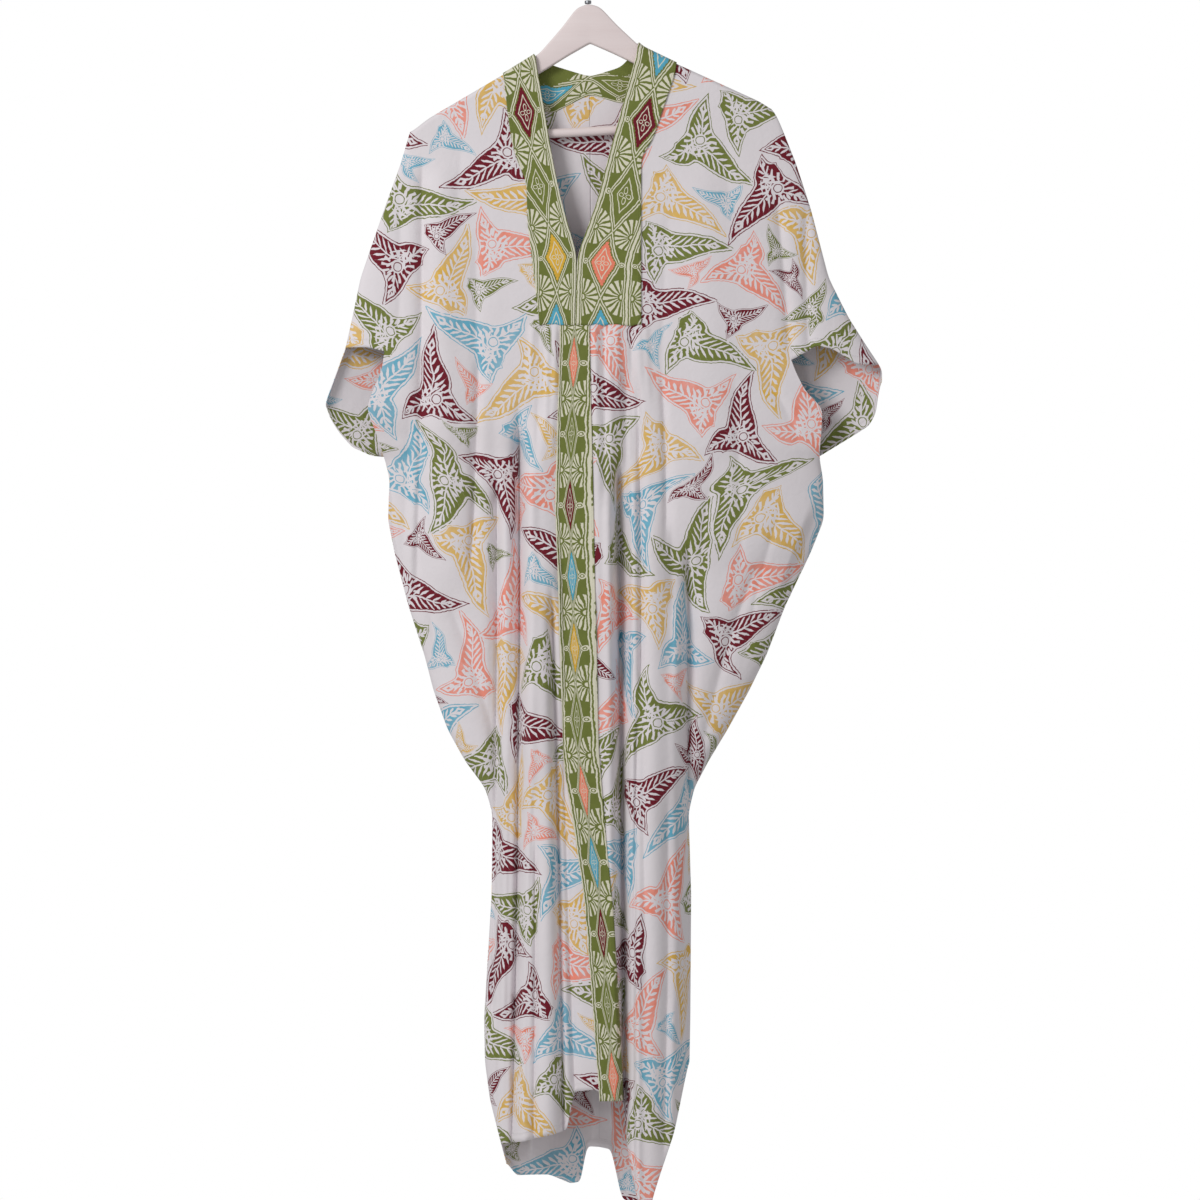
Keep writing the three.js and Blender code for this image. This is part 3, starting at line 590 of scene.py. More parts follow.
# How each strip lies over the border print: the middle of its diamonds, at which distances from it which
# of the print's places lie, where the first diamond is, their period, and their dyes from the top down
BORDER_PERIOD = 87
STRIPS = {
    "band_left": {
        "middle": 23, "lay": ((-23, 0, 50), (-34, 0, 61)), "first": 38, "period": 90,
        "dyes": (3, 1, 0, 4, 3),
    },
    "band_right": {
        "middle": 30, "lay": ((-30, 0, 60), (-35, 0, 60)), "first": 49, "period": 90,
        "dyes": (3, 1, 0, 2, 3),
    },
    "placket": {
        "middle": 18, "lay": ((-18, -7, 0, 7, 26), (-31, -20, 0, 20, 33)), "first": 407,
        "period": 85.5, "dyes": (0, 2, 0, 1, 3, 4, 0, 2, 3, 1, 0, 2),
    },
    "band_back": {
        "middle": 21, "lay": ((-50, 50), (-69, 69)), "first": -46, "period": 87, "dyes": (3, 0, 1),
        "plain_from": 32,
    },
}

# A place this far across the border print is plain olive
PLAIN = 100
PLAIN_EDGE = 50.0


def band_flat(side, x, drop):
    """Places on a band laid flat: the distance from the neck edge, and the length along that edge."""
    at = np.arange(60.0, 1500.0)
    slope = np.abs(np.gradient(neck[side](at)))
    length = np.cumsum(np.hypot(1, slope))
    sine = np.convolve(slope / np.hypot(1, slope), np.full(61, 1 / 61), "same")
    lean = np.interp(drop, at, sine)
    beside = np.abs(x - neck[side](drop))
    return together(beside * np.sqrt(1 - lean ** 2), np.interp(drop, at, length) - beside * lean)


def print_border(obj, strip):
    """Gives each face its diamond's own frame as a UV map, and the diamond's dye as another."""
    flat = read_map(obj.data, "Cloth")
    middle = flat.mean(axis=1)
    number = np.round((middle[:, 1] - strip["first"]) / strip["period"]).astype(int)
    along = flat[..., 1] - strip["first"] - number[:, None] * strip["period"]
    across = np.interp(flat[..., 0] - strip["middle"], *strip["lay"])
    across += np.where(middle[:, :1] > strip.get("plain_from", np.inf), PLAIN, 0)
    own = together(across, along * BORDER_PERIOD / strip["period"])
    add_map(obj.data, "Motif", own.reshape(-1, 2))
    dyes = np.array(strip["dyes"])[np.clip(number, 0, len(strip["dyes"]) - 1)]
    mark_dye(obj.data, dyes, np.full(len(dyes), 0.5))


def flat_size(obj):
    """Flat width and length in metres of a cloth piece, and its flat area in square metres."""
    flat = read_map(obj.data, "Cloth") * MM
    extent = np.ptp(flat.reshape(-1, 2), axis=0)
    x, y = flat[..., 0], flat[..., 1]
    turned = x * np.roll(y, -1, axis=1) - np.roll(x, -1, axis=1) * y
    return tuple(float(size) for size in extent), float(np.abs(turned.sum(axis=1)).sum() / 2)


def hanger_place(out, y, below):
    """Points of the hanger's own frame, turned by its tilt about the hanging point."""
    cos, sin = math.cos(TILT), math.sin(TILT)
    return together(out * cos + below * sin, y, out * sin - below * cos)


# Lower edge of the board, with the lobe at its end that holds the bar
BOARD_UNDER = table("out drop", [
    (0, 47), (26, 60), (57, 77), (182, 143), (186, 147), (188, 160), (194, 163), (201, 157), (204, 146),
])
BOARD_END = 204
BOARD_END_TURN = 4
BOARD_HALF_THICK = 6
BOARD_ROUNDING = 3
BOARD_STEPS = 241
CORNER_STEPS = 7
CLOTH_SEAT = 1.5
CLOSED = 0.02

# The bar through the board's lobes, the ferrule, and the hook's wire
BAR = {"half": 187.7, "below": HUMP + 153.0, "rounding": 1.0, "steps": 40}
FERRULE = {"length": 4, "radius": 4, "rounding": 0.8, "steps": 6}
CROWN = {"centre": -18, "radius": 20, "start": -35, "end": 196, "step": 8}
HOOK_FOOT = 5.1 - HUMP
HOOK_TIP = (0.95, 0.8, 0.5, 0.01)


def board_points():
    """The board as a rounded rectangle carried along the arms; its height follows the two edges' lines."""
    crowd = np.sin(np.linspace(-math.pi / 2, math.pi / 2, BOARD_STEPS))
    out = BOARD_END * crowd
    upper_line = soft_line(ARM, "out", "drop", 4)
    under_line = soft_line(BOARD_UNDER, "out", "drop", 2)
    upper = upper_line(np.abs(out)) + CLOTH_SEAT + HUMP
    under = under_line(np.abs(out)) + HUMP
    end = np.sqrt(np.clip((BOARD_END - np.abs(out)) / BOARD_END_TURN, 0, 1))
    middle = (upper + under) / 2
    half_high = np.maximum((under - upper) / 2 * end, CLOSED)
    half_thick = np.maximum(BOARD_HALF_THICK * end, CLOSED)
    rounding = np.minimum(BOARD_ROUNDING, np.minimum(half_high, half_thick))
    corner = np.linspace(0.01, math.pi / 2 - 0.01, CORNER_STEPS)
    angle = np.concatenate([corner + k * math.pi / 2 for k in range(4)])
    cos, sin = np.cos(angle)[:, None], np.sin(angle)[:, None]
    y = np.sign(cos) * (half_thick - rounding) + rounding * cos
    below = middle + np.sign(sin) * (half_high - rounding) + rounding * sin
    points = hanger_place(out, y, below)
    return np.concatenate((points, points[:1]))


def tube_points(path, radii, sides=28):
    """A round tube along a path in the hanger's plane: a circle of the radius at each step."""
    tangent = np.gradient(path, axis=0)
    tangent /= np.linalg.norm(tangent, axis=1, keepdims=True)
    beside = together(tangent[:, 2], 0.0, -tangent[:, 0])
    angle = np.linspace(0, 2 * math.pi, sides + 1)[:, None, None]
    ring = np.cos(angle) * beside + np.sin(angle) * np.array((0, 1, 0))
    return path + ring * radii[None, :, None]


def rounded_ends(length, radius, rounding, count):
    """Steps along a rod and its radius at each, with both ends turned in by a quarter circle."""
    turn = np.linspace(0, math.pi / 2, CORNER_STEPS)
    start = rounding * (1 - np.cos(turn))
    straight = np.linspace(rounding, length - rounding, count)[1:-1]
    steps = np.concatenate((start, straight, length - start[::-1]))
    inset = rounding * (1 - np.sin(turn))
    radii = np.concatenate((radius - inset, np.full(count - 2, radius), (radius - inset)[::-1]))
    caps = np.array([0.01])
    return np.concatenate((steps[:1], steps, steps[-1:])), np.concatenate((caps, radii, caps))


def hook_path(step=0.5):
    """The wire's middle line: up from the ferrule, then round a circle whose crown's inside is the origin."""
    turn = np.radians(np.arange(CROWN["start"], CROWN["end"], CROWN["step"]))
    x = np.concatenate(([0, 0, 3, 9], CROWN["radius"] * np.cos(turn)))
    stem = HOOK_FOOT + np.array([0, 7, 13, 18])
    z = np.concatenate((stem, CROWN["centre"] + CROWN["radius"] * np.sin(turn)))
    at = np.concatenate(([0], np.cumsum(np.hypot(np.diff(x), np.diff(z)))))
    rows = {"at": at, "x": x, "z": z}
    place = np.arange(0, at[-1], step)
    smooth_x = soft_line(rows, "at", "x", 2, step)(place)
    smooth_z = soft_line(rows, "at", "z", 2, step)(place)
    return smooth_x, smooth_z


class Wire:
    """A number in a shader's tree; arithmetic on it adds Math nodes."""

    def __init__(self, tree, socket):
        self.tree = tree
        self.socket = socket

    def math(self, operation, *others):
        node = self.tree.nodes.new("ShaderNodeMath")
        node.operation = operation
        for slot, value in zip(node.inputs, (self, *others)):
            plug(self.tree, value, slot)
        return Wire(self.tree, node.outputs[0])

    def above(self, edge, softness=0.3):
        """0 below the edge, rising smoothly to 1 over the softness."""
        node = self.tree.nodes.new("ShaderNodeMapRange")
        node.interpolation_type = "SMOOTHSTEP"
        for slot, value in zip(node.inputs, (self, edge - softness / 2, edge + softness / 2, 0.0, 1.0)):
            plug(self.tree, value, slot)
        return Wire(self.tree, node.outputs[0])

    def within(self, low, high, softness=0.3):
        """1 between low and high, 0 outside."""
        return self.above(low, softness) * self.below(high, softness)

    def below(self, edge, softness=0.3):
        return self.above(edge, softness) * -1.0 + 1.0

    def __add__(self, other):
        return self.math("ADD", other)

    def __sub__(self, other):
        return self.math("SUBTRACT", other)

    def __mul__(self, other):
        return self.math("MULTIPLY", other)

    def __truediv__(self, other):
        return self.math("DIVIDE", other)

    def __pow__(self, other):
        return self.math("POWER", other)

    def __abs__(self):
        return self.math("ABSOLUTE")

    def highest(self, *others):
        """The largest of these."""
        return reduce(lambda first, second: first.math("MAXIMUM", second), others, self)

    def lowest(self, other):
        return self.math("MINIMUM", other)

    def sine(self):
        return self.math("SINE")

    def fraction(self):
        return self.math("FRACT")


def plug(tree, value, slot):
    """Links a wire or a socket to a slot, or sets the slot's own value or its red, green and blue."""
    if isinstance(value, Wire):
        tree.links.new(value.socket, slot)
    elif isinstance(value, bpy.types.NodeSocket):
        tree.links.new(value, slot)
    elif slot.type == "RGBA":
        slot.default_value = (*value, 1.0)
    else:
        slot.default_value = value


def new_material(name):
    """An empty node material with its one shader: the material, its tree and the shader."""
    material = bpy.data.materials.new(name)
    material.use_nodes = True
    tree = material.node_tree
    tree.nodes.clear()
    shader = tree.nodes.new("ShaderNodeBsdfPrincipled")
    output = tree.nodes.new("ShaderNodeOutputMaterial")
    tree.links.new(shader.outputs[0], output.inputs[0])
    return material, tree, shader


def map_wires(tree, name):
    """Both numbers of a UV map."""
    source = tree.nodes.new("ShaderNodeUVMap")
    source.uv_map = name
    split = tree.nodes.new("ShaderNodeSeparateXYZ")
    tree.links.new(source.outputs[0], split.inputs[0])
    return Wire(tree, split.outputs[0]), Wire(tree, split.outputs[1])


def noise(tree, per_metre, detail=2.0, stretch=(1, 1, 1)):
    """Noise over the object's own coordinates, so many bumps to the metre: its value and three more."""
    place = tree.nodes.new("ShaderNodeTexCoord")
    scale = tree.nodes.new("ShaderNodeVectorMath")
    scale.operation = "MULTIPLY"
    scale.inputs[1].default_value = stretch
    texture = tree.nodes.new("ShaderNodeTexNoise")
    texture.inputs["Scale"].default_value = per_metre
    texture.inputs["Detail"].default_value = detail
    split = tree.nodes.new("ShaderNodeSeparateXYZ")
    tree.links.new(place.outputs["Object"], scale.inputs[0])
    tree.links.new(scale.outputs[0], texture.inputs["Vector"])
    tree.links.new(texture.outputs["Color"], split.inputs[0])
    return Wire(tree, texture.outputs["Fac"]), [Wire(tree, slot) for slot in split.outputs]


def mix_colours(tree, share, first, second):
    """Colour that goes from the first to the second as the share goes from 0 to 1."""
    node = tree.nodes.new("ShaderNodeMix")
    node.data_type = "RGBA"
    plug(tree, share, node.inputs["Factor"])
    plug(tree, first, node.inputs[6])
    plug(tree, second, node.inputs[7])
    return node.outputs[2]


# A lobe's pattern: the rib's place beside the spine, the strokes' reach, their slant back from the rib,
# the lobe's share that the strokes and the rib take up, and the ring near its tip
RIB = {"aside": 0.13, "half": 0.9, "along": (0.14, 0.8, 0.02)}
STROKES = {"reach": 0.86, "slant": 1.2, "along": (0.12, 0.86, 0.02)}
TIP_RING = {"at": 0.82, "long": 9.0, "wide": 0.26, "inner": 0.4}


def lobe_wires(a, b, tone, lobe, stroke):
    """One lobe of the motif: how far inside its outline a place is, and where its fern strokes are.

    Along the lobe s runs from 0 to 1; its spine is bow * sin(pi s) + wave * sin(2 pi s) and its half width
    is width * sin(pi s^0.62). The strokes point to the tip on both sides of a rib."""
    angle, swing, length, growth, width, bow, wave = lobe
    whole = tone * growth + (length - growth / 2 + LOBE_START)
    heading = tone * math.radians(swing) + math.radians(angle - swing / 2)
    cos, sin = heading.math("COSINE"), heading.sine()
    along = a * cos + b * sin + LOBE_START
    share = (along / whole).highest(0.0).lowest(1.5)
    turn = share * math.pi
    spine = turn.sine() * bow + (turn * 2.0).sine() * wave
    aside = b * cos - a * sin - spine
    half = (share ** LOBE_SWELL * math.pi).sine() * width
    inside = half - abs(aside) + along.lowest(0.0)
    off_rib = abs(aside + half * RIB["aside"])
    reach = (off_rib / (half.highest(0.5) * STROKES["reach"])).lowest(1.0)
    phase = ((along - off_rib * STROKES["slant"]) / STROKE_PITCH).fraction()
    across_stroke = abs(phase - 0.5) * STROKE_PITCH
    thick = (reach - reach * reach) * 4.0 * stroke
    strokes = (thick - across_stroke).above(0.0, 0.5) * share.within(*STROKES["along"])
    rib = (off_rib * -1.0 + RIB["half"]).above(0.0, 0.4) * share.within(*RIB["along"])
    eye = abs(along - whole * TIP_RING["at"]) / TIP_RING["long"] + abs(aside) / (width * TIP_RING["wide"])
    ring = eye.below(1.0, 0.2) * eye.above(TIP_RING["inner"], 0.2)
    return inside, strokes.highest(rib, ring) * inside.above(1.0, 0.4)


def length_of(x, y):
    """Square root of x^2 + y^2."""
    return (x * x + y * y).math("SQRT")


def motif_wires(a, b, tone, stroke):
    """Where the motif's dye lies: its lobes less the fern strokes and the round inlet, and the outline."""
    lobes = [[float(value) for value in lobe] for lobe in zip(*LOBES.values())]
    insides, whites = zip(*(lobe_wires(a, b, tone, lobe, stroke) for lobe in lobes))
    inside = reduce(lambda first, second: first.math("SMOOTH_MAX", second, LOBE_MERGE), insides)
    x, y = a - HUB["x"], b - HUB["y"]
    from_hub = length_of(x, y)
    inside = inside.lowest(from_hub - HUB["radius"])
    petal = abs((y.math("ARCTAN2", x) * (HUB["petals"] / (2 * math.pi))).fraction() - 0.5)
    petals = petal.below(0.2, 0.1) * from_hub.within(*HUB["petal_ring"])
    white = whites[0].highest(*whites[1:], petals)
    fill = inside.above(0.0) * (white * -1.0 + 1.0)
    return fill.highest(inside.within(*OUTLINE))


# The border print, in millimetres: a diamond's half sizes, the line across beyond which the print runs
# back, the teeth of the dyed diamond, and the cream lines, as (low, high, softness). A lattice line is a
# share of the diamond's size, an edge line a distance across, and a petal loop is an ellipse's outline.
DIAMOND = {"across": 22.0, "along": 43.0}
MIRROR = 62.8
TEETH = {"count": 6.0, "depth": 0.14, "share": 0.76}
LATTICE_LINES = ((0.44, 0.5, 0.02), (0.815, 0.885, 0.015), (0.965, 1.045, 0.015))
EDGE_LINES = ((26.8, 28.2), (29.8, 31.6))
SIDE_PETAL = {"at": 4.6, "across": 9.0, "along": 5.3}
END_PETAL = {"at": 6.2, "across": 5.3, "along": 16.0}
PETAL_LOOP = (0.78, 1.12, 0.1)

# The fans between the diamonds and the roundels beside them: their places across and their rings
FAN = {"at": 25.5, "rays": 8, "ring": (5.0, 22.0, 0.8), "core": (2.8, 0.5), "outside": (1.12, 0.03)}
FAN_PETAL = {"half": 0.18, "growth": 0.006}
ROUNDEL = {"at": 23.5, "dot": 1.3, "ring": (2.3, 3.5), "clear": 4.3}

# How the cloth takes light, and the print's wander by hand, the weave and the stitches in millimetres
CLOTH_SURFACE = {"Roughness": 0.8, "Specular IOR Level": 0.25, "Sheen Weight": 0.12, "Sheen Roughness": 0.5}
SLOW_WANDER = 5.0
QUICK_WANDER = 1.8
WEAVE_PERIOD = 0.9
STITCH_PITCH = 3.2


def petal_loop(x, y, petal):
    """The outline of an ellipse round the origin, whose half sizes' squares the petal gives."""
    return (x * x / petal["across"] + y * y / petal["along"]).math("SQRT").within(*PETAL_LOOP)


def border_wires(a, b):
    """The border print in one diamond's frame: the diamond's dye, and the cream lines on the olive."""
    across, along = abs(a), abs(b)
    printed = across.below(PLAIN_EDGE)
    across = across.lowest(across * -1.0 + MIRROR)
    wide, high = across / DIAMOND["across"], along / DIAMOND["along"]
    lattice = wide + high
    tooth = abs(((wide - high) * TEETH["count"]).fraction() - 0.5)
    dye = (lattice + tooth * TEETH["depth"]).below(TEETH["share"], 0.03)
    flower = petal_loop(across - SIDE_PETAL["at"], b, SIDE_PETAL)
    flower = flower.highest(petal_loop(a, along - END_PETAL["at"], END_PETAL))
    lines = [lattice.within(*line) for line in LATTICE_LINES]
    x, y = across * -1.0 + FAN["at"], along * -1.0 + BORDER_PERIOD / 2
    reach = length_of(x, y)
    ray = abs((y.math("ARCTAN2", x) * (FAN["rays"] / math.pi) + 0.5).fraction() - 0.5)
    petal = (reach * FAN_PETAL["growth"] + FAN_PETAL["half"] - ray).above(0.0, 0.06)
    petal = petal * reach.within(*FAN["ring"]) * lattice.above(*FAN["outside"])
    fan = petal.highest(reach.below(*FAN["core"])) * across.below(FAN["at"])
    ring = length_of(across - ROUNDEL["at"], b)
    rings = ring.below(ROUNDEL["dot"]).highest(ring.within(*ROUNDEL["ring"]))
    edges = [across.within(*line) for line in EDGE_LINES]
    cream = (flower.highest(*lines, fan) * ring.above(ROUNDEL["clear"])).highest(rings, *edges)
    return dye * printed, cream * printed


def cloth_height(tree, stitch_row):
    """Height in millimetres: a fine weave, the rumple of worn cloth, and a row of stitches by the edge."""
    across, down = map_wires(tree, "Cloth")
    turn = 2 * math.pi / WEAVE_PERIOD
    weave = (across * turn).sine() * (down * turn).sine() * 0.012
    broad, _ = noise(tree, 26, 3)
    fine, _ = noise(tree, 85, 2)
    rumple = broad * 1.3 + abs(fine - 0.5) * -0.7
    edge, along = map_wires(tree, "Edge")
    dash = abs((along / STITCH_PITCH).fraction() - 0.5).below(0.36, 0.1)
    stitches = abs(edge - stitch_row).below(0.8, 0.5) * dash
    turned = edge.below(stitch_row + 1.5, 1.0)
    return weave + rumple - stitches * 0.25 + turned * 0.25


def bumps(tree, shader, height, unit):
    """Bumps of this height, with its unit in millimetres."""
    bump = tree.nodes.new("ShaderNodeBump")
    bump.inputs["Distance"].default_value = unit * MM
    plug(tree, height, bump.inputs["Height"])
    plug(tree, bump.outputs[0], shader.inputs["Normal"])


def cloth_finish(tree, shader, colour, stitch_row=9.0):
    """Matte woven cloth with a faint sheen, and its bumps."""
    bumps(tree, shader, cloth_height(tree, stitch_row), 1.0)
    plug(tree, colour, shader.inputs["Base Color"])
    for name, value in CLOTH_SURFACE.items():
        shader.inputs[name].default_value = value


def wandering(tree, a, b):
    """The print's frame, bent a little by noise, as wax drawn by hand wanders."""
    _, slow = noise(tree, 42)
    _, quick = noise(tree, 260)
    return [place + (slow[k] - 0.5) * SLOW_WANDER + (quick[k] - 0.5) * QUICK_WANDER
            for k, place in enumerate((a, b))]


def dye_colour(tree, settings):
    """The colour of each face's dye from the ramp, mottled, and its number and tone."""
    number, tone = map_wires(tree, "Dye")
    ramp = tree.nodes.new("ShaderNodeValToRGB")
    ramp.color_ramp.interpolation = "CONSTANT"
    stops = ramp.color_ramp.elements
    while len(stops) < len(DYES):
        stops.new(0.5)
    for k, name in enumerate(DYES):
        stops[k].position = k / len(DYES)
        stops[k].color = (*getattr(settings, name), 1.0)
    plug(tree, number, ramp.inputs[0])
    mottle, _ = noise(tree, 150, 3)
    return mix_colours(tree, (mottle - 0.4) * 0.5, ramp.outputs[0], settings.depth), number, tone


def batik_print(cloth, dyes):
    """Off-white cloth printed with the dyed motifs."""
    material, tree, shader = new_material("batik_print")
    a, b = wandering(tree, *map_wires(tree, "Motif"))
    dye, number, tone = dye_colour(tree, dyes)
    sketchy = number.above(0.4, 0.02)
    mask = motif_wires(a, b, tone, sketchy * 0.35 + 1.95)
    patch, _ = noise(tree, 60, 3)
    worn = sketchy * (patch * 0.5 - 0.1) * -1.0 + 1.0
    uneven, _ = noise(tree, 9, 2)
    ground = mix_colours(tree, uneven, cloth.ground, cloth.ground_shade)
    cloth_finish(tree, shader, mix_colours(tree, mask * worn.lowest(1.0), ground, dye))
    return material


def border_print(cloth, dyes):
    """Olive cloth with the border print of diamonds and fans."""
    material, tree, shader = new_material("border_print")
    a, b = wandering(tree, *map_wires(tree, "Motif"))
    dye, _, _ = dye_colour(tree, dyes)
    inside, cream = border_wires(a, b)
    mottle, _ = noise(tree, 110, 3)
    olive = mix_colours(tree, mottle, dyes.olive, dyes.olive_shade)
    coloured = mix_colours(tree, inside, olive, dye)
    cloth_finish(tree, shader, mix_colours(tree, cream, coloured, dyes.cream), stitch_row=2.4)
    return material


def limed_wood(settings):
    """Limed wood: fine grain along the board, faint pores and a satin finish."""
    material, tree, shader = new_material("limed_wood")
    grain, _ = noise(tree, 60, 4, (0.12, 1, 1))
    pores, _ = noise(tree, 420, 2, (0.06, 1, 1))
    share = (grain - 0.3) * 0.9 + (pores - 0.5) * 0.35
    plug(tree, mix_colours(tree, share, settings.wood, settings.wood_grain), shader.inputs["Base Color"])
    bumps(tree, shader, grain + pores, 0.1)
    plug(tree, grain * 0.15 + 0.4, shader.inputs["Roughness"])
    return material


def satin_steel(settings):
    """Plated steel wire with fine drawn lines."""
    material, tree, shader = new_material("satin_steel")
    lines, _ = noise(tree, 900, 2, (1, 1, 0.08))
    plug(tree, mix_colours(tree, lines, settings.steel, settings.steel_shade), shader.inputs["Base Color"])
    shader.inputs["Metallic"].default_value = 1.0
    plug(tree, lines * 0.2 + 0.22, shader.inputs["Roughness"])
    bumps(tree, shader, lines, 0.03)
    return material


FINISHES = {}


def finish(maker, *settings):
    """The material that this function makes, made once."""
    if maker not in FINISHES:
        FINISHES[maker] = maker(*settings)
    return FINISHES[maker]


def shade(red, green, blue):
    """A screen colour, 0 to 255, as the linear colour that shaders take."""
    screen = np.array((red, green, blue)) / 255
    linear = np.where(screen <= 0.04045, screen / 12.92, ((screen + 0.055) / 1.055) ** 2.4)
    return tuple(float(value) for value in linear)


def colour_property(name, description, screen):
    return FloatVectorProperty(
        name=name, description=description, default=shade(*screen), subtype="COLOR", size=3, min=0, max=1,
    )


def length_property(name, description, value, smallest):
    return FloatProperty(name=name, description=description, default=value, min=smallest, unit="LENGTH")


class KaftanCloth(bpy.types.PropertyGroup):
    thickness: length_property("Thickness", "Thickness of the dress cloth", 0.7 * MM, 0.2 * MM)
    strip_thickness: length_property("Strip thickness", "Thickness of a doubled strip", 1.3 * MM, 0.4 * MM)
    seed: IntProperty(name="Print layout", description="Number that starts the print's scatter", default=11)
    ground: colour_property("Ground", "Undyed cloth", (236, 230, 234))
    ground_shade: colour_property("Ground shade", "Undyed cloth where it is duller", (228, 221, 224))


class KaftanDyes(bpy.types.PropertyGroup):
    olive: colour_property("Olive", "Olive dye", (121, 130, 62))
    olive_shade: colour_property("Olive shade", "Olive dye where it took more", (106, 114, 52))
    crimson: colour_property("Crimson", "Crimson dye", (116, 17, 37))
    coral: colour_property("Coral", "Coral dye", (250, 140, 114))
    blue: colour_property("Blue", "Turquoise blue dye", (90, 178, 206))
    yellow: colour_property("Yellow", "Mustard yellow dye", (232, 184, 66))
    depth: colour_property("Depth", "What the dyes darken towards", (60, 50, 40))
    cream: colour_property("Cream", "Waxed lines of the border print", (228, 224, 202))


class KaftanHanger(bpy.types.PropertyGroup):
    wood: colour_property("Wood", "Limed wood", (240, 226, 225))
    wood_grain: colour_property("Wood grain", "Grain of the limed wood", (226, 208, 207))
    steel: colour_property("Steel", "Hook and ferrule", (176, 178, 182))
    steel_shade: colour_property("Steel shade", "Drawn lines of the steel", (130, 132, 138))
    hook_radius: length_property("Hook wire radius", "Radius of the hook's wire", 2 * MM, 1 * MM)
    bar_radius: length_property("Bar radius", "Radius of the hanger's round bar", 5.5 * MM, 2 * MM)


class KaftanStage(bpy.types.PropertyGroup):
    view_height: length_property("View height", "Height that the picture takes in", 1.44, 0.5)
    camera_distance: length_property("Camera distance", "From the camera to the dress", 6.0, 2.0)
    key_power: FloatProperty(
        name="Key light", description="Power of the large front light", default=68, min=0, unit="POWER",
    )
    world_strength: FloatProperty(
        name="Room light", description="Strength of the light all round", default=0.41, min=0,
    )


def cloth_piece(name, points, maps, thickness, kept=None, flip=False):
    """A sheet of cloth over a grid, thickened, riding on the dress and standing for its solid."""
    obj = grid_object(name + "_cloth", points, maps, kept, flip)
    thicken(obj, thickness)
    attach(obj, "root")
    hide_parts(name)
    return obj


FLAT_SIZES = {}


def declare_sheet(obj):
    """Keeps the piece's flat size for the printed list."""
    size, area = flat_size(obj)
    FLAT_SIZES[obj.name] = (*size, area)


LAYOUTS = {}


def build_panel(name, settings, dyes):
    """One front or back, from the centre to the overarm and down to its hem."""
    kind, side = name.split("_")
    x, drop, kept = panel_places(name)
    face = -1 if kind == "front" else 1
    points, slope = cloth_points(face, x, drop)
    outward = OUTWARD[side]
    start = neck[side](drop[0]) if kind == "front" else centre_back(drop[0])
    across = outward * flat_across(outward * x, outward * slope, outward * start)
    flat = together(across, drop)
    edge = together(drop[:, -1:] - drop, across)
    maps = {"Cloth": flat, "Edge": edge}
    flip = (face < 0) != (side == "left")
    obj = cloth_piece(name, points, maps, settings.thickness / MM, kept, flip)
    seed = settings.seed + (0 if kind == "front" else 1)
    if seed not in LAYOUTS:
        LAYOUTS[seed] = scatter_motifs(seed)
    print_motifs(obj, LAYOUTS[seed])
    obj.data.materials.append(finish(batik_print, settings, dyes))
    declare_sheet(obj)


def build_strip(scene, name, x, drop, flat, face=-1, lift=STRIP_LIFT):
    """A border strip, flat places given, lying at a lift over the cloth under it."""
    points, _ = cloth_points(face, x, drop, lift)
    width = flat[..., 0]
    edge = np.minimum(width - width.min(axis=0), width.max(axis=0) - width)
    maps = {"Cloth": flat, "Edge": together(edge, flat[..., 1])}
    flip = (face < 0) == (x[-1, 0] > x[0, 0])
    obj = cloth_piece(name, points, maps, scene.kaftan_cloth.strip_thickness / MM, flip=flip)
    print_border(obj, STRIPS[name])
    obj.data.materials.append(finish(border_print, scene.kaftan_cloth, scene.kaftan_dyes))
    declare_sheet(obj)


class KAFTAN_OT_panels(bpy.types.Operator):
    """Build the two fronts and the two backs with their sleeves"""

    bl_idname = "kaftan.panels"
    bl_label = "Fronts and backs"

    def execute(self, context):
        for name in ("front_left", "front_right", "back_left", "back_right"):
            build_panel(name, context.scene.kaftan_cloth, context.scene.kaftan_dyes)
        return {"FINISHED"}


class KAFTAN_OT_bands(bpy.types.Operator):
    """Build the border bands from the shoulders down the V neck to the yoke seam"""

    bl_idname = "kaftan.bands"
    bl_label = "Neck bands"

    def execute(self, context):
        for side in ("left", "right"):
            outward = OUTWARD[side]
            share = np.linspace(0, 1, 31)

            def place(drop, share=share):
                return blend(neck[side](drop) + outward * SEAM / 2, band_edge[side](drop), share)

            top = settled(place, shoulder)
            drop = rows_between([top, np.full_like(top, YOKE)], (100,))
            x = place(drop, share[:, None])
            flat = band_flat(side, x, drop)
            build_strip(context.scene, f"band_{side}", x, drop, flat)
        return {"FINISHED"}


class KAFTAN_OT_placket(bpy.types.Operator):
    """Build the long border strip down the centre front"""

    bl_idname = "kaftan.placket"
    bl_label = "Front strip"

    def execute(self, context):
        share = np.linspace(0, 1, 25)[:, None]
        drop = np.linspace(YOKE + SEAM, PLACKET_EDGE["drop"][-1], 280)[None, :] + 0 * share
        low, high = placket_edge["left"](drop), placket_edge["right"](drop)
        x = blend(low, high, share)
        flat = together(x - low, drop)
        build_strip(context.scene, "placket", x, drop, flat)
        return {"FINISHED"}


class KAFTAN_OT_neck_strip(bpy.types.Operator):
    """Build the strip round the back neck, with its plain turned edge above the print"""

    bl_idname = "kaftan.neck_strip"
    bl_label = "Back neck strip"

    def execute(self, context):
        x = np.linspace(BACK_BAND["x"][0], BACK_BAND["x"][-1], 101)[:, None]
        share = np.linspace(0, 1, 25)[None, :]
        top, bottom = neck_strip["top"](x), neck_strip["bottom"](x)
        drop = blend(np.maximum(top, shoulder(x)), bottom, share)
        x = x + 0 * drop
        flat = together(bottom - drop, x)
        build_strip(context.scene, "band_back", x, drop, flat, face=1, lift=0.0)
        return {"FINISHED"}


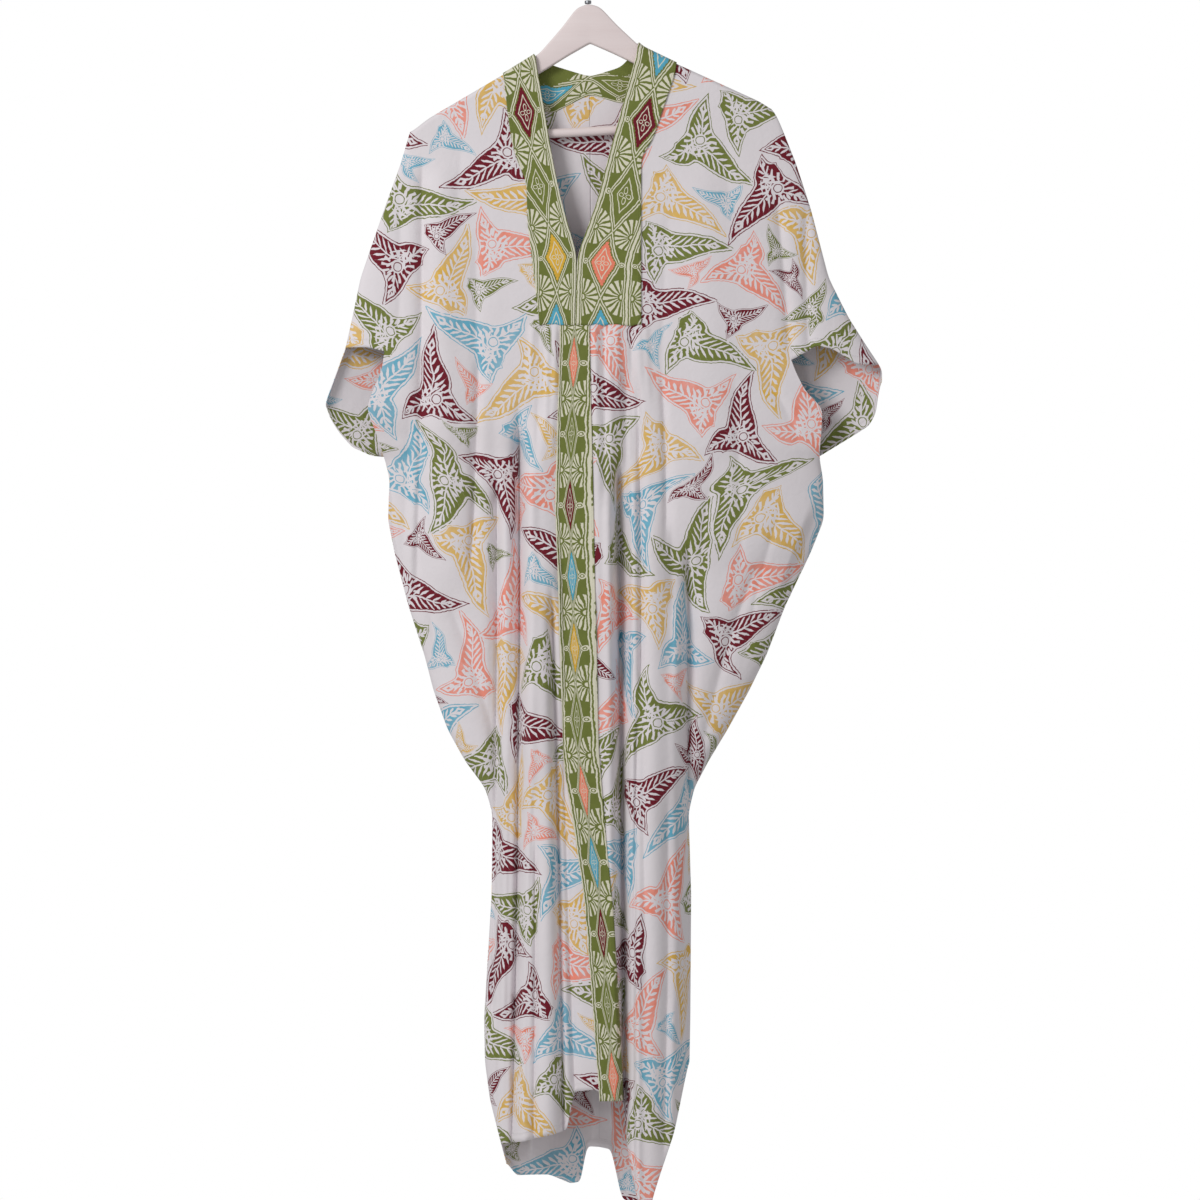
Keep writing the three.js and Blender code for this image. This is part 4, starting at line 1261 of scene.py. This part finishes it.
def hanger_piece(name, points, stands_for, material):
    """A closed surface of the hanger with its material."""
    obj = grid_object(name, points, {})
    obj.data.materials.append(material)
    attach(obj, "root")
    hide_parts(stands_for)
    return obj


class KAFTAN_OT_hanger(bpy.types.Operator):
    """Build the wooden board with its bar, the ferrule and the hook"""

    bl_idname = "kaftan.hanger"
    bl_label = "Hanger"

    def execute(self, context):
        settings = context.scene.kaftan_hanger
        wood = finish(limed_wood, settings)
        steel = finish(satin_steel, settings)
        board = hanger_piece("hanger_board_wood", board_points(), "hanger_board", wood)
        half = BAR["half"]
        steps, radii = rounded_ends(2 * half, settings.bar_radius / MM, BAR["rounding"], BAR["steps"])
        path = hanger_place(steps - half, 0.0, BAR["below"])
        bar = hanger_piece("hanger_bar_wood", tube_points(path, radii), "hanger_bar", wood)
        steps, radii = rounded_ends(*FERRULE.values())
        path = hanger_place(0.0, 0.0, HUMP - FERRULE["rounding"] - steps)
        ferrule = hanger_piece("hanger_ferrule_metal", tube_points(path, radii), "hanger_ferrule", steel)
        x, z = hook_path()
        radii = np.full(len(x), settings.hook_radius / MM)
        radii[-len(HOOK_TIP):] *= HOOK_TIP
        radii[0] = HOOK_TIP[-1]
        path = hanger_place(x, 0.0, -z)
        hook = hanger_piece("hanger_hook_metal", tube_points(path, radii), "hanger_hook", steel)
        return {"FINISHED"}


# The stage: the floor in millimetres and the rest in metres. The key light stands at its place and shines
# along its aim, and the camera looks straight at the middle of the view.
FLOOR_RADIUS = 700
FLOOR_DROP = 1650
KEY_SIZE = 1.2
KEY_PLACE = (-2.2, -2.7, 0.9)
KEY_AIM = (2.2, 2.7, -1.6)
VIEW_MIDDLE = (0.0174, -0.03, -0.777)
SENSOR_WIDTH = 36
FARTHEST = 50


def lay_floor():
    """A round pale floor under the dress."""
    angle = np.linspace(0, 2 * math.pi, 97)[:, None]
    radius = np.linspace(0.01, FLOOR_RADIUS, 3)[None, :]
    floor = grid_object("floor", together(radius * np.cos(angle), radius * np.sin(angle), -FLOOR_DROP), {})
    material, tree, shader = new_material("floor_paint")
    speckle, _ = noise(tree, 30, 3)
    pale, dull = (shade(*screen) for screen in ((240, 240, 240), (234, 234, 235)))
    plug(tree, mix_colours(tree, speckle, pale, dull), shader.inputs["Base Color"])
    shader.inputs["Roughness"].default_value = 0.9
    floor.data.materials.append(material)


def light_room(strength):
    """A world that is white to the camera and lights the dress at this strength."""
    world = bpy.data.worlds.new("studio")
    world.use_nodes = True
    tree = world.node_tree
    ray = tree.nodes.new("ShaderNodeLightPath")
    background = tree.nodes["Background"]
    background.inputs["Color"].default_value = (1, 1, 1, 1)
    seen = Wire(tree, ray.outputs["Is Camera Ray"])
    plug(tree, seen * (1 - strength) + strength, background.inputs["Strength"])
    return world


class KAFTAN_OT_stage(bpy.types.Operator):
    """Set the floor, the light and the camera"""

    bl_idname = "kaftan.stage"
    bl_label = "Floor, light and camera"

    def execute(self, context):
        settings = context.scene.kaftan_stage
        scene = context.scene
        lay_floor()
        scene.world = light_room(settings.world_strength)

        light = bpy.data.lights.new("key", "AREA")
        light.energy = settings.key_power
        light.size = KEY_SIZE
        key = bpy.data.objects.new("key", light)
        key.location = KEY_PLACE
        key.rotation_euler = Vector(KEY_AIM).to_track_quat("-Z", "Y").to_euler()
        scene.collection.objects.link(key)

        camera = bpy.data.cameras.new("camera")
        camera.sensor_width = SENSOR_WIDTH
        camera.lens = SENSOR_WIDTH * settings.camera_distance / settings.view_height
        camera.clip_end = FARTHEST
        eye = bpy.data.objects.new("camera", camera)
        eye.location = Vector(VIEW_MIDDLE) - Vector((0, settings.camera_distance, 0))
        eye.rotation_euler = (math.radians(90), 0, 0)
        scene.collection.objects.link(eye)
        scene.camera = eye
        scene.view_settings.view_transform = "Standard"
        return {"FINISHED"}


class KAFTAN_PT_panel(bpy.types.Panel):
    bl_idname = "KAFTAN_PT_panel"
    bl_label = "Batik kaftan dress"
    bl_space_type = "VIEW_3D"
    bl_region_type = "UI"
    bl_category = "Kaftan"

    def draw(self, context):
        for group, settings_class in SETTINGS.items():
            box = self.layout.box()
            for name in settings_class.__annotations__:
                box.prop(getattr(context.scene, group), name)
        for operator in OPERATORS:
            self.layout.operator(operator.bl_idname)


SETTINGS = {
    "kaftan_cloth": KaftanCloth, "kaftan_dyes": KaftanDyes, "kaftan_hanger": KaftanHanger,
    "kaftan_stage": KaftanStage,
}
OPERATORS = (
    KAFTAN_OT_panels, KAFTAN_OT_bands, KAFTAN_OT_placket, KAFTAN_OT_neck_strip, KAFTAN_OT_hanger,
    KAFTAN_OT_stage,
)
CLASSES = (*SETTINGS.values(), *OPERATORS, KAFTAN_PT_panel)


def register():
    for each in CLASSES:
        bpy.utils.register_class(each)
    for name, settings_class in SETTINGS.items():
        setattr(bpy.types.Scene, name, PointerProperty(type=settings_class))


def unregister():
    for name in SETTINGS:
        delattr(bpy.types.Scene, name)
    for each in reversed(CLASSES):
        bpy.utils.unregister_class(each)


def main():
    register()
    bpy.ops.kaftan.panels()
    bpy.ops.kaftan.bands()
    bpy.ops.kaftan.placket()
    bpy.ops.kaftan.neck_strip()
    bpy.ops.kaftan.hanger()
    bpy.ops.kaftan.stage()
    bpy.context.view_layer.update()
    for name, (width, length, area) in FLAT_SIZES.items():
        print(f"{name}: flat {width:.3f} x {length:.3f} m, {area:.3f} m2")


if __name__ == "__main__":
    main()
